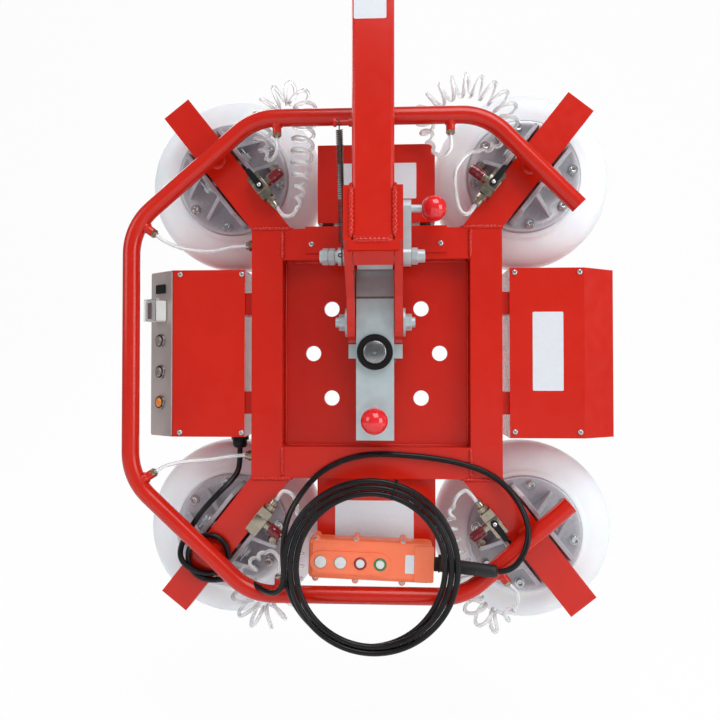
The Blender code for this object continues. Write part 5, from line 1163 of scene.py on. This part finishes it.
cap_profile = [
    (-0.0086, 0.0), (-0.0085, 0.0030), (-0.0080, 0.0034), (-0.0080, 0.0040), (-0.0086, 0.0046),
    (-0.0085, 0.0064), (-0.0078, 0.0077), (-0.0066, 0.0080), (-0.0046, 0.0080), (-0.0046, 0.0),
]
lens_profile = [
    (-0.0094, 0.0), (-0.0092, 0.0030), (-0.0086, 0.0056), (-0.0076, 0.0073), (-0.0064, 0.0080),
    (-0.0046, 0.0080), (-0.0046, 0.0),
]
# The buttons' steel caps are pressed and satin, so they are soft grey with a wide glow.
steel_button = mottled("satin steel button", "#9B938E", "#BBB4AE", 0.002, (0.24, 0.36), 0.00003,
                       [("Metallic", 0.9)])
for name, z in button_heights.items():
    lamp_cap = name == "panel_button_lamp"
    cap = turned_grid(lens_profile if lamp_cap else cap_profile, (0.0, 0.0, z), facing, 48)
    make_piece(name + "_cap", placed([cap], *panel_axes), amber_acrylic if lamp_cap else steel_button,
               name, stands_for=(name,))
dress(grey_urea, "breaker")
dress(clear_sheet, "breaker_flap")
rocker_outline = rounded_outline(0.0105, 0.026, 0.0008, (-0.0010, 0.069))
rocker = [plate_grid(rocker_outline, -0.0238, -0.0190, 0.0003)]
make_piece("breaker_rocker", placed(rocker, *panel_axes), brown_rocker)
hinge_place = (0.0, -0.0196, 0.0873)
hinge = [turned_grid(rod_profile(-0.0168, 0.0168, 0.0011, 0.0002), hinge_place, sideways, 20),
         slab_grid((0.0064, -0.0230, 0.0560), (0.0150, -0.0200, 0.0840), 0.0006)]
make_piece("breaker_hinge", placed(hinge, *panel_axes), grey_urea)

# The pendant control: an orange ABS case in two halves with a raised field, held by
# six screws in lugs on its rim, with four round buttons and a bare white label.
# Moulded ABS is even and bright with a satin grain. The caps, rings and the label's film
# are smoother plastics.
orange_abs = mottled("moulded orange ABS", "#F2683C", "#F98257", 0.018, (0.28, 0.40), 0.00008,
                     [("IOR", 1.54), ("Coat Weight", 0.15)])
button_white = mottled("white button cap", "#C9CBCB", "#DFE1E0", 0.002, (0.24, 0.34), 0.00004,
                       [("IOR", 1.50)])
ring_red = mottled("red button ring", "#8E1420", "#A81C2A", 0.002, (0.22, 0.32), 0.00003,
                   [("IOR", 1.50)])
ring_green = mottled("green button ring", "#0C7A38", "#159147", 0.002, (0.22, 0.32), 0.00003,
                     [("IOR", 1.50)])
bare_label = mottled("bare white label film", "#CDD2D8", "#DADEE3", 0.006, (0.30, 0.42), 0.00002,
                     [("IOR", 1.50)])
pendant_turn = math.radians(2)
pendant_axes = ((-0.008, 0.0, -0.3195), (math.cos(pendant_turn), 0.0, -math.sin(pendant_turn)), facing,
                (math.sin(pendant_turn), 0.0, math.cos(pendant_turn)))
dress(orange_abs, "pendant_case")
# Lugs for the screws along both long sides, and the thicker end that the cable leaves.
lug_places = ((-0.0836, 0.0300), (-0.0222, 0.0310), (0.0496, 0.0310),
              (-0.0834, -0.0300), (-0.0220, -0.0310), (0.0498, -0.0310))
lug_rod = rod_profile(-0.0385, -0.0085, 0.0052, 0.0008)
end_outline = rounded_outline(0.030, 0.0545, 0.003, (0.0825, -0.0010))
case_parts = [turned_grid(lug_rod, (x, 0.0, z), facing, 32) for x, z in lug_places]
case_parts.append(plate_grid(end_outline, -0.0432, -0.0380, 0.0008))
make_piece("pendant_lugs", placed(case_parts, *pendant_axes), orange_abs)
lug_screw = [
    (-0.0398, 0.0), (-0.0396, 0.0012), (-0.0392, 0.0014), (-0.0398, 0.0017), (-0.0394, 0.0028),
    (-0.0384, 0.0032), (-0.0380, 0.0),
]
lug_screws = [turned_grid(lug_screw, (x, 0.0, z), facing, 24) for x, z in lug_places]
make_piece("pendant_screws", placed(lug_screws, *pendant_axes), bright_screw)
label_outline = rounded_outline(0.0140, 0.0280, 0.0008, (0.0608, -0.0020))
make_piece("pendant_label", placed([plate_grid(label_outline, -0.0419, -0.0414, 0.0001)], *pendant_axes),
           bare_label)
buttons = 4
buttons_middle = -0.030
button_spacing = 0.0305
button_z = -0.004
plain_rim = 0.0092
ringed_rim = 0.0068
for number in range(buttons):
    x = buttons_middle + (number - (buttons - 1) / 2) * button_spacing
    name = "pendant_button_%d" % (number + 1)
    ringed = number > 1
    rim = ringed_rim if ringed else plain_rim
    crown = [(-0.0452, 0.0), (-0.0453, rim - 0.0020), (-0.0450, rim - 0.0006), (-0.0440, rim),
             (-0.0400, rim), (-0.0369, rim), (-0.0369, 0.0)]
    cap = turned_grid(crown, (x, 0.0, button_z), facing, 48)
    make_piece(name + "_cap", placed([cap], *pendant_axes), button_white, name,
               stands_for=(name,))
    if ringed:
        collar = [(-0.0369, 0.0070), (-0.0440, 0.0070), (-0.0449, 0.0076), (-0.0450, 0.0084),
                  (-0.0444, 0.0092), (-0.0434, 0.0094), (-0.0369, 0.0094), (-0.0369, 0.0070)]
        ring = turned_grid(collar, (x, 0.0, button_z), facing, 48)
        make_piece(name + "_ring", placed([ring], *pendant_axes), ring_red if number == 2 else ring_green,
                   name)

# The cable's boot is a rubber sleeve with a ribbed root, pulled over the pendant's
# outlet, and a ribbed nylon gland holds the cable's other end in the control box.
# Rubber is a dull, slightly brown black that hardly mirrors anything.
black_rubber = mottled("moulded black rubber", "#161516", "#211F20", 0.006, (0.48, 0.66), 0.00010,
                       [("IOR", 1.52)])
boot_start = np.array([0.0902, -0.0235, -0.3269])
boot_axis = np.array([0.0946, -0.0275, -0.0033])
boot_ribs = 6
first_rib = 0.003
rib_spacing = 0.0045
boot_profile = [(0.0, 0.0), (0.0, 0.0106)]
for number in range(boot_ribs):
    at = first_rib + number * rib_spacing
    boot_profile += [(at, 0.0110), (at + 0.0022, 0.0110), (at + 0.0028, 0.0099), (at + 0.0040, 0.0099)]
boot_profile += [(0.0305, 0.0104), (0.0600, 0.0101), (0.0900, 0.0097), (0.0950, 0.0092), (0.0968, 0.0080),
                 (0.0970, 0.0046), (0.0970, 0.0)]
boot = [turned_grid(boot_profile, boot_start, boot_axis, 48)]
make_piece("cable_boot", boot, black_rubber, stands_for=("pendant_boot",))
gland_place = (-0.228, 0.045, -0.135)
gland_hex = [
    (0.0004, 0.0), (0.0004, 0.0126), (-0.0016, 0.0132), (-0.0070, 0.0132), (-0.0080, 0.0122), (-0.0080, 0.0),
]
gland_cap = [
    (-0.0078, 0.0), (-0.0078, 0.0120), (-0.0100, 0.0122), (-0.0165, 0.0118), (-0.0205, 0.0092),
    (-0.0212, 0.0062), (-0.0212, 0.0),
]
make_piece("cable_gland", [turned_grid(gland_hex, gland_place, upright, 48, 6),
                           turned_grid(gland_cap, gland_place, upright, 48)],
           black_nylon)

# Cable ties: two nylon straps, one round the coil's turns and one round the boot's
# root, each with its small square lock.
strap_half = 0.0008
strap_gap = 0.0053
strap_depth = 0.0108
strap_round = 0.0040
lock_half = 0.0024
lock_edge = 0.0005
tie_spot = np.array([0.0314, 0.0, -0.1966]) - np.array([coil_centre[0], 0.0, coil_centre[1]])
tie_out = tie_spot / np.linalg.norm(tie_spot)
tie_angle = math.degrees(math.atan2(tie_out[2], tie_out[0]))
# The strap goes round the turns of the coil that lie within half a step of its angle.
from_tie = np.abs((coil_angle - tie_angle + 180) % 360 - 180)
tie_turns = coil_reach[(coil_angle > 360) & (from_tie <= degrees_apart / 2)]
tie_near, tie_far = tie_turns.min() - strap_gap, tie_turns.max() + strap_gap
tie_middle = np.array([coil_centre[0], coil_depth[-1], coil_centre[1]]) + tie_out * (tie_near + tie_far) / 2
strap = rounded_outline(tie_far - tie_near, strap_depth, strap_round)
loop = tie_middle + strap[:, :1] * tie_out + strap[:, 1:] * np.array(facing)
tie_grids = [swept_grid(loop, strap_half, np.cross(tie_out, facing), 8, True)]
lock_at = tie_middle + tie_out * (tie_far - tie_near) / 2
tie_grids.append(slab_grid(lock_at - lock_half, lock_at + lock_half, lock_edge))
root_reach = 0.0114
root_lock_reach = 0.0125
root_strap_half = 0.0009
root_turn = np.linspace(0.0, 2 * math.pi, 48, endpoint=False)
boot_line = boot_axis / np.linalg.norm(boot_axis)
boot_side = np.cross(boot_line, upright)
boot_side /= np.linalg.norm(boot_side)
boot_up = np.cross(boot_side, boot_line)
root = boot_start + boot_line * 0.009
root_loop = (root + root_reach * np.outer(np.cos(root_turn), boot_side)
             + root_reach * np.outer(np.sin(root_turn), boot_up))
tie_grids.append(swept_grid(root_loop, root_strap_half, boot_line, 8, True))
root_lock = root + boot_up * root_lock_reach
tie_grids.append(slab_grid(root_lock - lock_half, root_lock + lock_half, lock_edge))
make_piece("cable_ties", tie_grids, black_nylon)

# Blank labels: white film stickers left bare, pressed flat on the painted steel.
# Each label's width, height, middle, and the depths of its face and of its back.
label_sizes = {
    "mast": [(0.046, 0.081, (-0.004, 0.5075), -0.1423, -0.1418)],
    "frame": [
        (0.048, 0.125, (0.272, 0.0025), 0.0036, 0.0042),
        (0.127, 0.058, (0.0015, 0.279), 0.0136, 0.0142),
        (0.126, 0.061, (-0.003, -0.2675), 0.0136, 0.0142),
    ],
}
label_round = 0.002
film_edge = 0.0001
for body, sizes in label_sizes.items():
    labels = [plate_grid(rounded_outline(width, height, label_round, middle), front, back, film_edge)
              for width, height, middle, front, back in sizes]
    make_piece("bare_labels_" + body, labels, bare_label, body)

# Cover screws: zinc plated pan heads with a hexagon socket, at the corners of both
# side boxes and on the bracket over the top rail, and black rubber feet under the
# top box.
pan_head = [
    (0.0, 0.0), (0.0, 0.0042), (-0.0010, 0.0044), (-0.0022, 0.0036), (-0.0028, 0.0024),
    (-0.0028, 0.0019), (-0.0012, 0.0017), (-0.0012, 0.0),
]
cover_front = 0.0041
screw_spots = [(x, cover_front, z) for x in (-0.318, -0.217) for z in (0.128, -0.128)]
screw_spots += [(x, cover_front, z) for z in (0.128, -0.125) for x in (0.220, 0.322)]
screw_spots += [(x, -0.0024, 0.1744) for x in (-0.103, 0.103)]
make_piece("cover_screws", [turned_grid(pan_head, place, facing, 30) for place in screw_spots], bright_screw)
foot_profile = [(0.2003, 0.0), (0.2003, 0.0078), (0.2012, 0.0087), (0.2104, 0.0087), (0.2108, 0.0)]
foot_places = [(x, 0.027, 0.0) for x in (-0.080, 0.080)]
make_piece("rubber_feet", [turned_grid(foot_profile, place, upright, 36) for place in foot_places],
           black_rubber)

# The bar's two halves meet at a joint below its chamfer, which shows as a brown line
# of dried oil across it.
seam_brown = mottled("dried oil in a joint", "#5A4A40", "#7B6A5C", 0.004, (0.45, 0.60), 0.00005)
seam_half = 0.0286
seam_points = 24
seam_radius = 0.0021
seam_path = np.column_stack([np.linspace(-seam_half, seam_half, seam_points),
                             np.full(seam_points, -0.0440), np.full(seam_points, 0.0836)])
seam = [swept_grid(seam_path, seam_radius, facing, 8)]
make_piece("bar_joint_line", seam, seam_brown, "bar")

# The return spring: close-wound 1.8 mm wire, 11 mm across, hooked on a post of the mast
# and on the lock shaft's collar.
post_hook = np.array([-0.05005, -0.112, 0.331])
collar_hook = np.array([-0.05005, -0.045, 0.147])
wire_radius = 0.0009
spring_reach = 0.0045
spring_pitch = 0.0026
steps_per_turn = 14
post_hook_reach = 0.0055
collar_hook_reach = 0.0155
collar_clearance = 0.0200
post_clearance = 0.0100
spring_line = (post_hook - collar_hook) / np.linalg.norm(post_hook - collar_hook)
spring_low = collar_hook + spring_line * collar_clearance
spring_high = post_hook - spring_line * post_clearance
spring_long = np.linalg.norm(spring_high - spring_low)
spring_turns = round(spring_long / spring_pitch)
share = np.linspace(0.0, 1.0, spring_turns * steps_per_turn + 1)
spring_cross = np.cross(spring_line, sideways)
wound = (spring_low + spring_line * (spring_long * share)[:, None]
         + spring_reach * (np.outer(np.cos(2 * math.pi * spring_turns * share), sideways)
                           + np.outer(np.sin(2 * math.pi * spring_turns * share), spring_cross)))
spring_grids = [swept_grid(wound, wire_radius, (0.3, 0.0, 1.0), 8)]
# An open hook round the post and round the collar, then a straight leg from each hook to
# the winding.
spring_ends = ((post_hook, -spring_line, post_hook_reach, spring_high),
               (collar_hook, spring_line, collar_hook_reach, spring_low))
bend = np.radians(np.linspace(-140.0, 140.0, 24))
for middle, toward, reach, _ in spring_ends:
    hook = middle + reach * (np.outer(np.cos(bend), toward) + np.outer(np.sin(bend), spring_cross))
    spring_grids.append(swept_grid(hook, wire_radius, sideways, 8))
leg = np.linspace(0.0, 1.0, 6)[:, None]
for middle, toward, reach, end in spring_ends:
    straight = (middle + toward * reach) * (1 - leg) + end * leg
    spring_grids.append(swept_grid(straight, wire_radius, sideways, 8))
# Oiled spring steel is dark grey, with a thin bright line along each turn.
spring_steel = mottled("oiled spring steel", "#3A3836", "#6A6662", 0.004, (0.28, 0.40), 0.00002,
                       [("Metallic", 1.0)])
make_piece("lock_return_spring", spring_grids, spring_steel, "mast",
           stands_for=("return_spring",))
